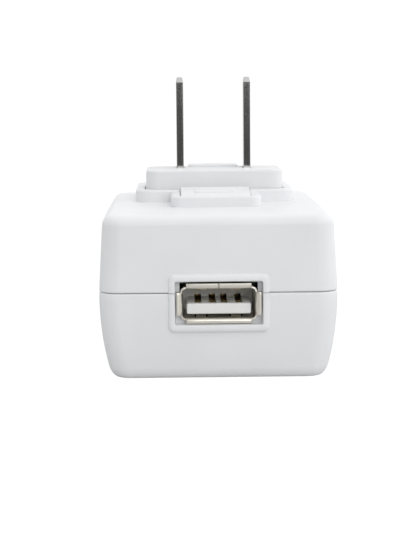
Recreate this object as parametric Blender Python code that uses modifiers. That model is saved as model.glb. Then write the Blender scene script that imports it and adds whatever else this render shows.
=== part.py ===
"""Wall charger with a USB-A port and a removable plug head.

The charger lies on its base with the blades pointing up. +Y runs from the port to the rear, +X to the
right of the port, and the origin is on the base, under the centre of the whole charger.
"""

import math

import bmesh
import bpy
from mathutils import Matrix, Vector

MM = 0.001
GAP = 0.3 * MM

# The two housing shells.
BODY_LENGTH = 56.0 * MM
BODY_HALF_WIDTH = 20.48 * MM
PARTING_Z = 14.94 * MM
TOP_Z = 28.3 * MM
CROWN = 0.3 * MM
WALL = 2.0 * MM
PLAN_RADIUS = 3.5 * MM
TOP_ROUND = (1.7 * MM, 1.7 * MM)
BASE_ROUND = (1.1 * MM, 1.9 * MM)
UPPER_DRAFT = 0.055
LOWER_TAPER = 1.98 * MM
LOWER_TAPER_POWER = 2.2
END_TAPER_SHARE = 0.6
LIP_OUTSET = 1.2 * MM
LIP_RELIEF = 0.9 * MM
LIP_HEIGHT = 1.2 * MM
LIP_BREAK_HALF_WIDTH = 9.2 * MM
FLOOR_Z = 1.8 * MM
CEILING_Z = 26.3 * MM
POST_RADIUS = 1.6 * MM
POST_X = 14.3 * MM
POST_FROM_FRONT = (6.0 * MM, 50.5 * MM)

# The frame round the port.
BEZEL_HALF_WIDTH = 8.6 * MM
BEZEL_Z = (8.2 * MM, 18.15 * MM)
BEZEL_RADIUS = 1.1 * MM
BEZEL_PROUD = 0.5 * MM
BEZEL_BACK = 0.6 * MM
MOUTH_HALF_WIDTH = 7.5 * MM
MOUTH_Z = (9.45 * MM, 16.95 * MM)
MOUTH_DEPTH = 1.4 * MM
MOUTH_RADIUS = 0.4 * MM
THROAT_GAP = 0.35 * MM

# The USB-A receptacle, a standard size.
PORT_Z = 13.05 * MM
PORT_INSIDE = (12.5 * MM, 5.12 * MM)
PORT_SHEET = 0.3 * MM
PORT_START = 0.3 * MM
PORT_END = 14.2 * MM
PORT_CORNER = 0.9 * MM
FLARE_LENGTH = 0.95 * MM
FLARE_TURN = 50.0
FLARE_ROOT = 0.2 * MM
FLARE_SET_BACK = 0.25 * MM
FLARE_NOTCH = 0.07 * MM
TONGUE_WIDTH = 11.1 * MM
TONGUE_TOP_Z = 13.04 * MM
TONGUE_THICKNESS = 1.84 * MM
TONGUE_START = 0.9 * MM
BACK_WALL = 10.0 * MM
GROOVE_DEPTH = 1.1 * MM
GROOVE_START = 1.7 * MM
CONTACT_X = (-3.5 * MM, -1.0 * MM, 1.0 * MM, 3.5 * MM)
CONTACT_WIDTH = 1.0 * MM

# The collar, which holds the plug head, and the button's bulge on its front.
COLLAR_HALF_WIDTH = 14.75 * MM
COLLAR_SPAN = (26.0 * MM, 49.0 * MM)
COLLAR_TOP_Z = 30.55 * MM
COLLAR_RADIUS = 3.2 * MM
WELL_HALF_WIDTH = 13.08 * MM
WELL_SPAN = (27.3 * MM, 47.5 * MM)
WELL_RADIUS = 2.6 * MM
WELL_FLOOR_Z = (24.7 * MM, 26.3 * MM)
BULGE_HALF_WIDTH = 8.12 * MM
BULGE_START = 15.3 * MM
BULGE_TOP_Z = 30.15 * MM
BULGE_TUB_Z = (24.0 * MM, 25.6 * MM)
BULGE_RADIUS = 1.8 * MM
BULGE_WALL = 1.2 * MM

# The release button, which rocks on two stub pins.
BUTTON_HALF_WIDTH = 6.25 * MM
BUTTON_SPAN = (16.9 * MM, 27.1 * MM)
BUTTON_UNDERSIDE_Z = 27.4 * MM
BUTTON_REAR_TOP_Z = 31.05 * MM
BUTTON_NOSE = 0.6 * MM
PIVOT_FROM_FRONT = 18.3 * MM
PIVOT_Z = 28.3 * MM
PIVOT_RADIUS = 0.8 * MM
PIVOT_HALF_LENGTH = 7.35 * MM
PAD_HALF_WIDTH = 3.8 * MM
PAD_SPAN = (20.0 * MM, 24.4 * MM)
PAD_RELIEF = 0.2 * MM
SPRING_FROM_FRONT = 24.0 * MM
SPRING_RADIUS = 1.6 * MM
SPRING_WIRE = 0.18 * MM
SPRING_TURNS = 4
SPRING_Z = (26.1 * MM, 29.1 * MM)
SPRING_POCKET_RADIUS = 2.2 * MM
SPRING_POCKET_TOP_Z = 29.6 * MM

# The plug head.
HEAD_HALF_WIDTH = 12.78 * MM
HEAD_SPAN = (27.6 * MM, 47.2 * MM)
HEAD_RADIUS = 2.3 * MM
HEAD_BASE_Z = (26.6 * MM, 28.4 * MM)
HEAD_FLANGE_Z = (28.7 * MM, 30.2 * MM)
HEAD_TOP_Z = 34.1 * MM
HEAD_BLOCK_END = 41.0 * MM
HEAD_EDGE_RADIUS = 0.45 * MM
GRIP_HALF_WIDTH = 4.9 * MM
GRIP_SPAN = (38.0 * MM, 46.2 * MM)
GRIP_TOP_Z = 34.35 * MM
GRIP_GROOVE = (4.0 * MM, 0.5 * MM, 0.4 * MM)
GRIP_GROOVE_FROM_FRONT = 44.4 * MM
BLADE_PITCH = 12.7 * MM
BLADE_FROM_FRONT = 37.0 * MM
BLADE_WIDTH = 6.35 * MM
BLADE_THICKNESS = 1.4 * MM
BLADE_FOOT = (3.4 * MM, 7.0 * MM, 1.0 * MM)
BLADE_FOOT_Z = 28.75 * MM
BLADE_TIP_Z = 51.3 * MM
BLADE_BEVEL = 0.4 * MM
BLADE_SLOT_GAP = 0.15 * MM
PAD_CONTACT_FROM_FRONT = BLADE_FROM_FRONT + 2.05 * MM
PAD_CONTACT = (3.8 * MM, 4.4 * MM)
PAD_CONTACT_Z = (26.0 * MM, 26.45 * MM)
PAD_POST = (2.0 * MM, 2.4 * MM)
FLOOR_SLOT = (5.0 * MM, 8.4 * MM)
FLOOR_SLOT_FROM_FRONT = BLADE_FROM_FRONT + 2.85 * MM

# The circuit board, with its parts hanging under it.
BOARD_HALF_WIDTH = 17.2 * MM
BOARD_SPAN = (2.6 * MM, 53.4 * MM)
BOARD_Z = (16.2 * MM, 17.4 * MM)
LEAD_TOP_Z = BOARD_Z[0] - 0.25 * MM
LEAD_RADIUS = 0.3 * MM
TAB_FROM_FRONT = 9.0 * MM
TAB_WIDTH = 2.0 * MM
TAB_TOP_Z = 18.2 * MM
SOCKET_STRIP_WIDTH = 3.6 * MM
SOCKET_STRIP_SHEET = 0.35 * MM

FRONT_Y = BEZEL_PROUD - (BODY_LENGTH + BEZEL_PROUD) / 2

WHITE = (0.83, 0.84, 0.86, 1.0)
BUTTON_WHITE = (0.84, 0.85, 0.87, 1.0)
NICKEL = (0.66, 0.62, 0.54, 1.0)
STEEL = (0.52, 0.52, 0.52, 1.0)
BRASS = (0.72, 0.52, 0.25, 1.0)
NATURAL_WHITE = (0.80, 0.81, 0.80, 1.0)
BOARD_GREEN = (0.01, 0.06, 0.025, 1.0)
FERRITE = (0.06, 0.06, 0.065, 1.0)
TAPE_YELLOW = (0.80, 0.62, 0.08, 1.0)
BLACK = (0.02, 0.02, 0.022, 1.0)
SLEEVE = (0.03, 0.035, 0.06, 1.0)
DISC_BLUE = (0.05, 0.16, 0.45, 1.0)
RESISTOR_BLUE = (0.12, 0.35, 0.55, 1.0)


def from_front(distance):
    """The Y of a point this far behind the front face."""
    return FRONT_Y + distance


def clear_scene():
    for obj in list(bpy.data.objects):
        bpy.data.objects.remove(obj, do_unlink=True)
    for collection in list(bpy.data.collections):
        bpy.data.collections.remove(collection)


def make_collection(name):
    collection = bpy.data.collections.new(name)
    bpy.context.scene.collection.children.link(collection)
    return collection


def material(name, colour, roughness, metallic):
    result = bpy.data.materials.new(name)
    result.use_nodes = True
    shader = result.node_tree.nodes["Principled BSDF"]
    shader.inputs["Base Color"].default_value = colour
    shader.inputs["Roughness"].default_value = roughness
    shader.inputs["Metallic"].default_value = metallic
    return result


def object_of(name, mesh_data):
    """A new object that holds the bmesh, in no collection yet."""
    bmesh.ops.recalc_face_normals(mesh_data, faces=mesh_data.faces)
    mesh = bpy.data.meshes.new(name)
    mesh_data.to_mesh(mesh)
    mesh_data.free()
    return bpy.data.objects.new(name, mesh)


def as_part(obj, colour, roughness=0.4, metallic=0.0, parent=None):
    """Finishes an object as a part: its collection, its material and its parent."""
    PARTS.objects.link(obj)
    obj.data.materials.append(material(obj.name, colour, roughness, metallic))
    if parent:
        obj.parent = parent
        obj.matrix_parent_inverse = parent.matrix_world.inverted()
    return obj


def as_tool(obj):
    """Finishes an object as a cutter or an added lump: never a part itself."""
    TOOLS.objects.link(obj)
    obj.hide_render = True
    obj.display_type = "WIRE"
    return obj


def combine(obj, other, operation):
    modifier = obj.modifiers.new(other.name, "BOOLEAN")
    modifier.object = other
    modifier.operation = operation
    modifier.solver = "EXACT"


def cut(obj, *others):
    for other in others:
        combine(obj, as_tool(other), "DIFFERENCE")


def add(obj, *others):
    for other in others:
        combine(obj, as_tool(other), "UNION")


def cuboid_mesh(low, high):
    box = bmesh.new()
    bmesh.ops.create_cube(box, size=1.0)
    low = Vector(low)
    high = Vector(high)
    size = high - low
    bmesh.ops.scale(box, vec=size, verts=box.verts)
    bmesh.ops.translate(box, vec=(low + high) / 2, verts=box.verts)
    return box


def cuboid(name, low, high):
    return object_of(name, cuboid_mesh(low, high))


def rounded_cuboid(name, low, high, axis, radius, steps=4, end_radius=0.0, end_steps=2):
    """A cuboid with its edges along one axis rounded, and the edges of its far end too if asked."""
    box = cuboid_mesh(low, high)
    along = [
        edge for edge in box.edges
        if abs(edge.verts[0].co[axis] - edge.verts[1].co[axis]) > 1e-6
    ]
    bmesh.ops.bevel(box, geom=along, offset=radius, segments=steps, profile=0.5, affect="EDGES")
    if end_radius:
        far = high[axis] - 1e-7
        rim = [edge for edge in box.edges if all(vert.co[axis] > far for vert in edge.verts)]
        bmesh.ops.bevel(box, geom=rim, offset=end_radius, segments=end_steps, profile=0.5, affect="EDGES")
    return object_of(name, box)


def cylinder(name, start, end, radius, sides=20):
    start = Vector(start)
    end = Vector(end)
    solid = bmesh.new()
    bmesh.ops.create_cone(
        solid, cap_ends=True, segments=sides, radius1=radius, radius2=radius, depth=(end - start).length
    )
    turn = Vector((0, 0, 1)).rotation_difference(end - start).to_matrix().to_4x4()
    bmesh.ops.transform(solid, matrix=Matrix.Translation((start + end) / 2) @ turn, verts=solid.verts)
    return object_of(name, solid)


def turned(name, profile, steps=20):
    """A solid of revolution about +Z: the profile is (radius, height) points, top to bottom."""
    mesh_data = bmesh.new()
    points = [mesh_data.verts.new((radius, 0.0, height)) for radius, height in profile]
    for first, second in zip(points, points[1:]):
        mesh_data.edges.new((first, second))
    mesh = bpy.data.meshes.new(name)
    mesh_data.to_mesh(mesh)
    mesh_data.free()
    obj = bpy.data.objects.new(name, mesh)
    screw = obj.modifiers.new("Turn", "SCREW")
    screw.steps = steps
    screw.render_steps = steps
    screw.use_merge_vertices = True
    screw.merge_threshold = 0.00001
    return obj


def side_profile(name, outline, half_width):
    """A solid whose outline in the Y-Z plane runs the same all the way across X."""
    solid = bmesh.new()
    face = solid.faces.new([solid.verts.new((-half_width, y, z)) for y, z in outline])
    grown = bmesh.ops.extrude_face_region(solid, geom=[face])
    moved = [item for item in grown["geom"] if isinstance(item, bmesh.types.BMVert)]
    bmesh.ops.translate(solid, vec=(2 * half_width, 0, 0), verts=moved)
    return object_of(name, solid)


def strip(name, path, centre_x, width, sheet):
    """A bent metal strip: its path in the Y-Z plane, given the width across X and a sheet thickness."""
    ribbon = bmesh.new()
    rows = [
        [ribbon.verts.new((centre_x + side * width / 2, y, z)) for side in (-1, 1)]
        for y, z in path
    ]
    for first, second in zip(rows, rows[1:]):
        ribbon.faces.new((first[0], first[1], second[1], second[0]))
    obj = object_of(name, ribbon)
    solidify = obj.modifiers.new("Sheet", "SOLIDIFY")
    solidify.thickness = sheet
    solidify.offset = 0.0
    solidify.use_even_offset = True
    return obj


def right_half_outline(half_width, front, rear, radius, arc_steps, side_steps):
    """The right half of a rounded rectangle, front to rear."""
    points = []
    for step in range(arc_steps + 1):
        angle = math.radians(90 * step / arc_steps)
        points.append((
            half_width - radius + radius * math.sin(angle), front + radius - radius * math.cos(angle)
        ))
    for step in range(1, side_steps):
        points.append((half_width, front + radius + (rear - front - 2 * radius) * step / side_steps))
    for step in range(arc_steps + 1):
        angle = math.radians(90 * step / arc_steps)
        points.append((
            half_width - radius + radius * math.cos(angle), rear - radius + radius * math.sin(angle)
        ))
    return points


def shell_insets(z):
    """How far the sides have drawn in at this height: by their taper, and by the rounding of an edge."""
    if z >= PARTING_Z:
        taper = UPPER_DRAFT * (z - PARTING_Z)
        inwards, upwards = TOP_ROUND
        into = z - (TOP_Z - upwards)
    else:
        taper = LOWER_TAPER * ((PARTING_Z - z) / PARTING_Z) ** LOWER_TAPER_POWER
        inwards, upwards = BASE_ROUND
        into = upwards - z
    share = min(max(into, 0.0) / upwards, 1.0)
    return taper, inwards * (1 - math.sqrt(1 - share ** 2))


def crowned(y, z):
    """The height of a point of the upper shell once the top is crowned along Y."""
    middle = from_front(BODY_LENGTH / 2)
    drop = CROWN * ((y - middle) / (BODY_LENGTH / 2)) ** 2
    return z - drop * max(z - PARTING_Z, 0.0) / (TOP_Z - PARTING_Z)


def shell_loft(name, heights, thickness, arc_steps, side_steps):
    """The solid inside the shells' outer surface between the heights, drawn in by a wall thickness."""
    solid = bmesh.new()
    rings = []
    for z in heights:
        taper, rounding = shell_insets(z)
        end = thickness + taper * END_TAPER_SHARE + rounding
        radius = max(PLAN_RADIUS - 0.6 * thickness - rounding, 0.8 * MM)
        side = BODY_HALF_WIDTH - thickness - taper - rounding
        half = right_half_outline(
            side, from_front(end), from_front(BODY_LENGTH - end), radius, arc_steps, side_steps
        )
        right = [solid.verts.new((x, y, crowned(y, z))) for x, y in half]
        left = [solid.verts.new((-x, y, crowned(y, z))) for x, y in half]
        rings.append((right, left))
    last = len(rings[0][0]) - 1
    for lower, upper in zip(rings, rings[1:]):
        for side in (0, 1):
            for index in range(last):
                solid.faces.new((
                    lower[side][index], lower[side][index + 1], upper[side][index + 1], upper[side][index]
                ))
        for index in (0, last):
            solid.faces.new((lower[0][index], lower[1][index], upper[1][index], upper[0][index]))
    for right, left in (rings[0], rings[-1]):
        for index in range(last):
            solid.faces.new((right[index], right[index + 1], left[index + 1], left[index]))
    return object_of(name, solid)


def arc_heights(start, end, count, ease_end):
    """Heights that bunch up towards one end, to follow a rounded edge."""
    heights = []
    for step in range(count + 1):
        angle = math.radians(90 * step / count)
        share = math.sin(angle) if ease_end else 1 - math.cos(angle)
        heights.append(start + (end - start) * share)
    return heights


def shell_lip(name, outset, low, high):
    """The rounded block inside both shells where they meet, drawn in by this much."""
    return rounded_cuboid(
        name,
        (outset - BODY_HALF_WIDTH, from_front(outset), low),
        (BODY_HALF_WIDTH - outset, from_front(BODY_LENGTH - outset), high),
        axis=2, radius=PLAN_RADIUS - 0.6 * outset, steps=4,
    )


def bezel_half(name, low, high):
    """The part of the raised frame between these heights."""
    frame = rounded_cuboid(
        name + "_frame",
        (-BEZEL_HALF_WIDTH, from_front(-BEZEL_PROUD), BEZEL_Z[0]),
        (BEZEL_HALF_WIDTH, from_front(BEZEL_BACK), BEZEL_Z[1]),
        axis=1, radius=BEZEL_RADIUS, steps=3,
    )
    keep = cuboid(
        name,
        (-2 * BEZEL_HALF_WIDTH, from_front(-2 * BEZEL_PROUD), low),
        (2 * BEZEL_HALF_WIDTH, from_front(2 * BEZEL_BACK), high),
    )
    combine(keep, as_tool(frame), "INTERSECT")
    return keep


def port_cutters(name):
    """The port's mouth through the frame and the narrower throat through the wall."""
    mouth = rounded_cuboid(
        name + "_mouth",
        (-MOUTH_HALF_WIDTH, from_front(-1.0 * MM), MOUTH_Z[0]),
        (MOUTH_HALF_WIDTH, from_front(MOUTH_DEPTH), MOUTH_Z[1]),
        axis=1, radius=MOUTH_RADIUS, steps=2,
    )
    half_width = PORT_INSIDE[0] / 2 + PORT_SHEET + THROAT_GAP
    half_height = PORT_INSIDE[1] / 2 + PORT_SHEET + THROAT_GAP
    throat = cuboid(
        name + "_throat",
        (-half_width, from_front(MOUTH_DEPTH / 2), PORT_Z - half_height),
        (half_width, from_front(WALL + 1.5 * MM), PORT_Z + half_height),
    )
    return mouth, throat


def lip_break(name, low, high):
    """A block over the port, within the front wall: the lip stops there."""
    return cuboid(
        name,
        (-LIP_BREAK_HALF_WIDTH, from_front(LIP_RELIEF / 2), low),
        (LIP_BREAK_HALF_WIDTH, from_front(WALL), high),
    )


def posts(name, low, high):
    return [
        cylinder(
            f"{name}_{side}_{row}",
            (sign * POST_X, from_front(distance), low),
            (sign * POST_X, from_front(distance), high),
            POST_RADIUS, sides=12,
        )
        for side, sign in (("left", -1), ("right", 1))
        for row, distance in zip(("front", "rear"), POST_FROM_FRONT)
    ]


def make_lower_housing():
    top = PARTING_Z - GAP / 2
    base_top = BASE_ROUND[1]
    heights = arc_heights(0.0, base_top, 4, ease_end=False)
    heights += [base_top + (top - base_top) * step / 5 for step in range(1, 6)]
    shell = shell_loft("lower_housing", heights, 0.0, arc_steps=6, side_steps=2)
    add(shell, shell_lip("lower_lip", LIP_OUTSET, PARTING_Z - 2 * MM, PARTING_Z + LIP_HEIGHT))
    cavity_heights = [FLOOR_Z, 0.4 * PARTING_Z, 0.7 * PARTING_Z, PARTING_Z, PARTING_Z + 3 * MM]
    cut(shell, shell_loft("lower_cavity", cavity_heights, WALL, arc_steps=3, side_steps=1))
    cut(shell, lip_break("lower_lip_break", top, PARTING_Z + 2 * LIP_HEIGHT))
    add(shell, bezel_half("lower_bezel", BEZEL_Z[0] - MM, top))
    add(shell, *posts("lower_post", FLOOR_Z - 0.5 * MM, BOARD_Z[0] - GAP))
    cut(shell, *port_cutters("lower_port"))
    return as_part(shell, WHITE)


def make_upper_housing():
    bottom = PARTING_Z + GAP / 2
    shoulder = TOP_Z - TOP_ROUND[1]
    heights = [bottom + (shoulder - bottom) * step / 3 for step in range(3)]
    heights += arc_heights(shoulder, TOP_Z, 5, ease_end=True)
    shell = shell_loft("upper_housing", heights, 0.0, arc_steps=6, side_steps=6)
    cavity_heights = [PARTING_Z - 2 * MM, 20 * MM, CEILING_Z]
    cut(shell, shell_loft("upper_cavity", cavity_heights, WALL, arc_steps=3, side_steps=1))
    relief_top = PARTING_Z + LIP_HEIGHT + GAP
    cut(shell, shell_lip("lip_relief", LIP_RELIEF, PARTING_Z - 2 * MM, relief_top))
    add(shell, lip_break("upper_lip_fill", bottom, relief_top + MM))
    add(shell, rounded_cuboid(
        "collar",
        (-COLLAR_HALF_WIDTH, from_front(COLLAR_SPAN[0]), WELL_FLOOR_Z[0]),
        (COLLAR_HALF_WIDTH, from_front(COLLAR_SPAN[1]), COLLAR_TOP_Z),
        axis=2, radius=COLLAR_RADIUS, end_radius=0.3 * MM, end_steps=1,
    ))
    add(shell, rounded_cuboid(
        "bulge",
        (-BULGE_HALF_WIDTH, from_front(BULGE_START), BULGE_TUB_Z[0]),
        (BULGE_HALF_WIDTH, from_front(COLLAR_SPAN[0] + 3 * MM), BULGE_TOP_Z),
        axis=2, radius=BULGE_RADIUS, end_radius=0.3 * MM, end_steps=1,
    ))
    add(shell, bezel_half("upper_bezel", bottom, BEZEL_Z[1] + MM))
    add(shell, *posts("upper_post", BOARD_Z[1] + GAP, CEILING_Z + 0.5 * MM))
    cut(shell, rounded_cuboid(
        "well",
        (-WELL_HALF_WIDTH, from_front(WELL_SPAN[0]), WELL_FLOOR_Z[1]),
        (WELL_HALF_WIDTH, from_front(WELL_SPAN[1]), COLLAR_TOP_Z + 2 * MM),
        axis=2, radius=WELL_RADIUS,
    ))
    cut(shell, cuboid(
        "button_pocket",
        (-BUTTON_HALF_WIDTH - GAP, from_front(BULGE_START + BULGE_WALL), BULGE_TUB_Z[1]),
        (BUTTON_HALF_WIDTH + GAP, from_front(HEAD_SPAN[0]), COLLAR_TOP_Z + 3 * MM),
    ))
    pin_end = PIVOT_HALF_LENGTH + GAP
    pin_y = from_front(PIVOT_FROM_FRONT)
    cut(shell, cylinder(
        "pin_sockets", (-pin_end, pin_y, PIVOT_Z), (pin_end, pin_y, PIVOT_Z), PIVOT_RADIUS + GAP, sides=12
    ))
    for side, sign in (("left", -1), ("right", 1)):
        centre_x = sign * BLADE_PITCH / 2
        centre_y = from_front(FLOOR_SLOT_FROM_FRONT)
        cut(shell, cuboid(
            f"floor_slot_{side}",
            (centre_x - FLOOR_SLOT[0] / 2, centre_y - FLOOR_SLOT[1] / 2, WELL_FLOOR_Z[0] - MM),
            (centre_x + FLOOR_SLOT[0] / 2, centre_y + FLOOR_SLOT[1] / 2, WELL_FLOOR_Z[1] + MM),
        ))
    cut(shell, *port_cutters("upper_port"))
    return as_part(shell, WHITE)


def button_top(distance):
    """The height of the button's sloped top this far behind the front face."""
    rise = BUTTON_REAR_TOP_Z - BULGE_TOP_Z
    run = BUTTON_SPAN[1] - BUTTON_NOSE - BUTTON_SPAN[0]
    return BULGE_TOP_Z + rise * (distance - BUTTON_SPAN[0]) / run


def make_release_button(pivot):
    front, rear = BUTTON_SPAN
    outline = [
        (from_front(front), BUTTON_UNDERSIDE_Z),
        (from_front(front), BULGE_TOP_Z),
        (from_front(rear - BUTTON_NOSE), BUTTON_REAR_TOP_Z),
        (from_front(rear), BUTTON_REAR_TOP_Z - BUTTON_NOSE),
        (from_front(rear), BUTTON_UNDERSIDE_Z),
    ]
    button = side_profile("release_button", outline, BUTTON_HALF_WIDTH)
    pad_outline = [
        (from_front(PAD_SPAN[0]), button_top(PAD_SPAN[0]) - 0.5 * MM),
        (from_front(PAD_SPAN[0]), button_top(PAD_SPAN[0]) + PAD_RELIEF),
        (from_front(PAD_SPAN[1]), button_top(PAD_SPAN[1]) + PAD_RELIEF),
        (from_front(PAD_SPAN[1]), button_top(PAD_SPAN[1]) - 0.5 * MM),
    ]
    pin_y = from_front(PIVOT_FROM_FRONT)
    add(
        button,
        side_profile("thumb_pad", pad_outline, PAD_HALF_WIDTH),
        cylinder(
            "pivot_pins",
            (-PIVOT_HALF_LENGTH, pin_y, PIVOT_Z), (PIVOT_HALF_LENGTH, pin_y, PIVOT_Z), PIVOT_RADIUS, sides=12,
        ),
    )
    spring_y = from_front(SPRING_FROM_FRONT)
    cut(button, cylinder(
        "spring_pocket",
        (0, spring_y, BUTTON_UNDERSIDE_Z - MM), (0, spring_y, SPRING_POCKET_TOP_Z),
        SPRING_POCKET_RADIUS, sides=16,
    ))
    return as_part(button, BUTTON_WHITE, parent=pivot)


def make_button_spring():
    curve = bpy.data.curves.new("button_spring", "CURVE")
    curve.dimensions = "3D"
    curve.bevel_depth = SPRING_WIRE
    curve.bevel_resolution = 2
    curve.use_fill_caps = True
    per_turn = 10
    count = SPRING_TURNS * per_turn
    centre_y = from_front(SPRING_FROM_FRONT)
    spline = curve.splines.new("POLY")
    spline.points.add(count)
    for index in range(count + 1):
        angle = math.tau * index / per_turn
        z = SPRING_Z[0] + (SPRING_Z[1] - SPRING_Z[0]) * index / count
        spline.points[index].co = (
            SPRING_RADIUS * math.cos(angle), centre_y + SPRING_RADIUS * math.sin(angle), z, 1.0
        )
    return as_part(bpy.data.objects.new("button_spring", curve), STEEL, 0.3, 1.0)


def make_plug_cover(carriage):
    front, rear = HEAD_SPAN
    flange_low, flange_high = HEAD_FLANGE_Z
    cover = rounded_cuboid(
        "plug_cover",
        (-HEAD_HALF_WIDTH, from_front(front), flange_low),
        (HEAD_HALF_WIDTH, from_front(rear), flange_high),
        axis=2, radius=HEAD_RADIUS,
    )
    add(
        cover,
        rounded_cuboid(
            "plug_block",
            (-HEAD_HALF_WIDTH, from_front(front), flange_low + 0.2 * MM),
            (HEAD_HALF_WIDTH, from_front(HEAD_BLOCK_END), HEAD_TOP_Z),
            axis=2, radius=HEAD_RADIUS, end_radius=HEAD_EDGE_RADIUS, end_steps=2,
        ),
        rounded_cuboid(
            "grip",
            (-GRIP_HALF_WIDTH, from_front(GRIP_SPAN[0]), flange_low + 0.5 * MM),
            (GRIP_HALF_WIDTH, from_front(GRIP_SPAN[1]), GRIP_TOP_Z),
            axis=2, radius=1.0 * MM, steps=2, end_radius=0.5 * MM, end_steps=2,
        ),
    )
    length, width, depth = GRIP_GROOVE
    groove_y = from_front(GRIP_GROOVE_FROM_FRONT)
    cut(cover, cuboid(
        "grip_groove",
        (-length / 2, groove_y - width / 2, GRIP_TOP_Z - depth),
        (length / 2, groove_y + width / 2, GRIP_TOP_Z + MM),
    ))
    for side, sign in (("left", -1), ("right", 1)):
        centre = Vector((sign * BLADE_PITCH / 2, from_front(BLADE_FROM_FRONT), 0))
        slot = Vector((BLADE_THICKNESS / 2 + BLADE_SLOT_GAP, BLADE_WIDTH / 2 + BLADE_SLOT_GAP, 0))
        foot = Vector((BLADE_FOOT[0] / 2 + GAP, BLADE_FOOT[1] / 2 + 0.2 * MM, 0))
        pocket_top = BLADE_FOOT_Z + BLADE_FOOT[2] + GAP
        cut(
            cover,
            cuboid(
                f"foot_pocket_{side}",
                centre - foot + Vector((0, 0, flange_low - MM)), centre + foot + Vector((0, 0, pocket_top)),
            ),
            cuboid(
                f"blade_slot_{side}",
                centre - slot + Vector((0, 0, flange_low)), centre + slot + Vector((0, 0, HEAD_TOP_Z + MM)),
            ),
        )
    return as_part(cover, WHITE, parent=carriage)


def make_plug_base(carriage):
    front, rear = HEAD_SPAN
    base = rounded_cuboid(
        "plug_base",
        (-HEAD_HALF_WIDTH, from_front(front), HEAD_BASE_Z[0]),
        (HEAD_HALF_WIDTH, from_front(rear), HEAD_BASE_Z[1]),
        axis=2, radius=HEAD_RADIUS,
    )
    cut(base, cuboid(
        "catch_notch",
        (-BUTTON_HALF_WIDTH / 2, from_front(front - MM), HEAD_BASE_Z[0] + 0.6 * MM),
        (BUTTON_HALF_WIDTH / 2, from_front(front + 0.9 * MM), HEAD_BASE_Z[1] + MM),
    ))
    for side, sign in (("left", -1), ("right", 1)):
        centre_x = sign * BLADE_PITCH / 2
        centre_y = from_front(PAD_CONTACT_FROM_FRONT)
        cut(base, cuboid(
            f"contact_hole_{side}",
            (centre_x - PAD_POST[0] / 2 - GAP, centre_y - PAD_POST[1] / 2 - GAP, HEAD_BASE_Z[0] - MM),
            (centre_x + PAD_POST[0] / 2 + GAP, centre_y + PAD_POST[1] / 2 + GAP, HEAD_BASE_Z[1] + MM),
        ))
    return as_part(base, WHITE, parent=carriage)


def make_blade(side, sign, carriage):
    centre = Vector((sign * BLADE_PITCH / 2, from_front(BLADE_FROM_FRONT), 0))
    half = Vector((BLADE_THICKNESS / 2, BLADE_WIDTH / 2, 0))
    foot = Vector((BLADE_FOOT[0] / 2, BLADE_FOOT[1] / 2, 0))
    blade = rounded_cuboid(
        f"blade_{side}",
        centre - half + Vector((0, 0, BLADE_FOOT_Z)), centre + half + Vector((0, 0, BLADE_TIP_Z)),
        axis=2, radius=0.12 * MM, steps=1, end_radius=BLADE_BEVEL, end_steps=2,
    )
    add(blade, cuboid(
        f"blade_foot_{side}",
        centre - foot + Vector((0, 0, BLADE_FOOT_Z)),
        centre + foot + Vector((0, 0, BLADE_FOOT_Z + BLADE_FOOT[2])),
    ))
    return as_part(blade, STEEL, 0.25, 1.0, carriage)


def make_plug_contact(side, sign, carriage):
    centre = Vector((sign * BLADE_PITCH / 2, from_front(PAD_CONTACT_FROM_FRONT), 0))
    pad = Vector((PAD_CONTACT[0] / 2, PAD_CONTACT[1] / 2, 0))
    post = Vector((PAD_POST[0] / 2, PAD_POST[1] / 2, 0))
    contact = rounded_cuboid(
        f"plug_contact_{side}",
        centre - pad + Vector((0, 0, PAD_CONTACT_Z[0])), centre + pad + Vector((0, 0, PAD_CONTACT_Z[1])),
        axis=2, radius=0.4 * MM, steps=2,
    )
    add(contact, cuboid(
        f"plug_contact_post_{side}",
        centre - post + Vector((0, 0, PAD_CONTACT_Z[0] + 0.1 * MM)),
        centre + post + Vector((0, 0, BLADE_FOOT_Z - GAP)),
    ))
    return as_part(contact, BRASS, 0.3, 1.0, carriage)


def make_socket_contact(side, sign):
    """The sprung strip on the board that reaches up to the plug head's contact.

    Its path is (distance behind the blade's centre, height) points, in millimetres.
    """
    path = [
        (1.45, 17.88), (7.25, 17.88), (7.6, 18.3), (7.35, 22.9), (5.95, 24.3), (4.05, 25.2),
        (2.45, 25.52), (1.05, 25.3), (0.05, 24.6),
    ]
    points = [(from_front(BLADE_FROM_FRONT + behind * MM), z * MM) for behind, z in path]
    spring = strip(
        f"socket_contact_{side}", points, sign * BLADE_PITCH / 2, SOCKET_STRIP_WIDTH, SOCKET_STRIP_SHEET
    )
    return as_part(spring, BRASS, 0.3, 1.0)


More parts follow.
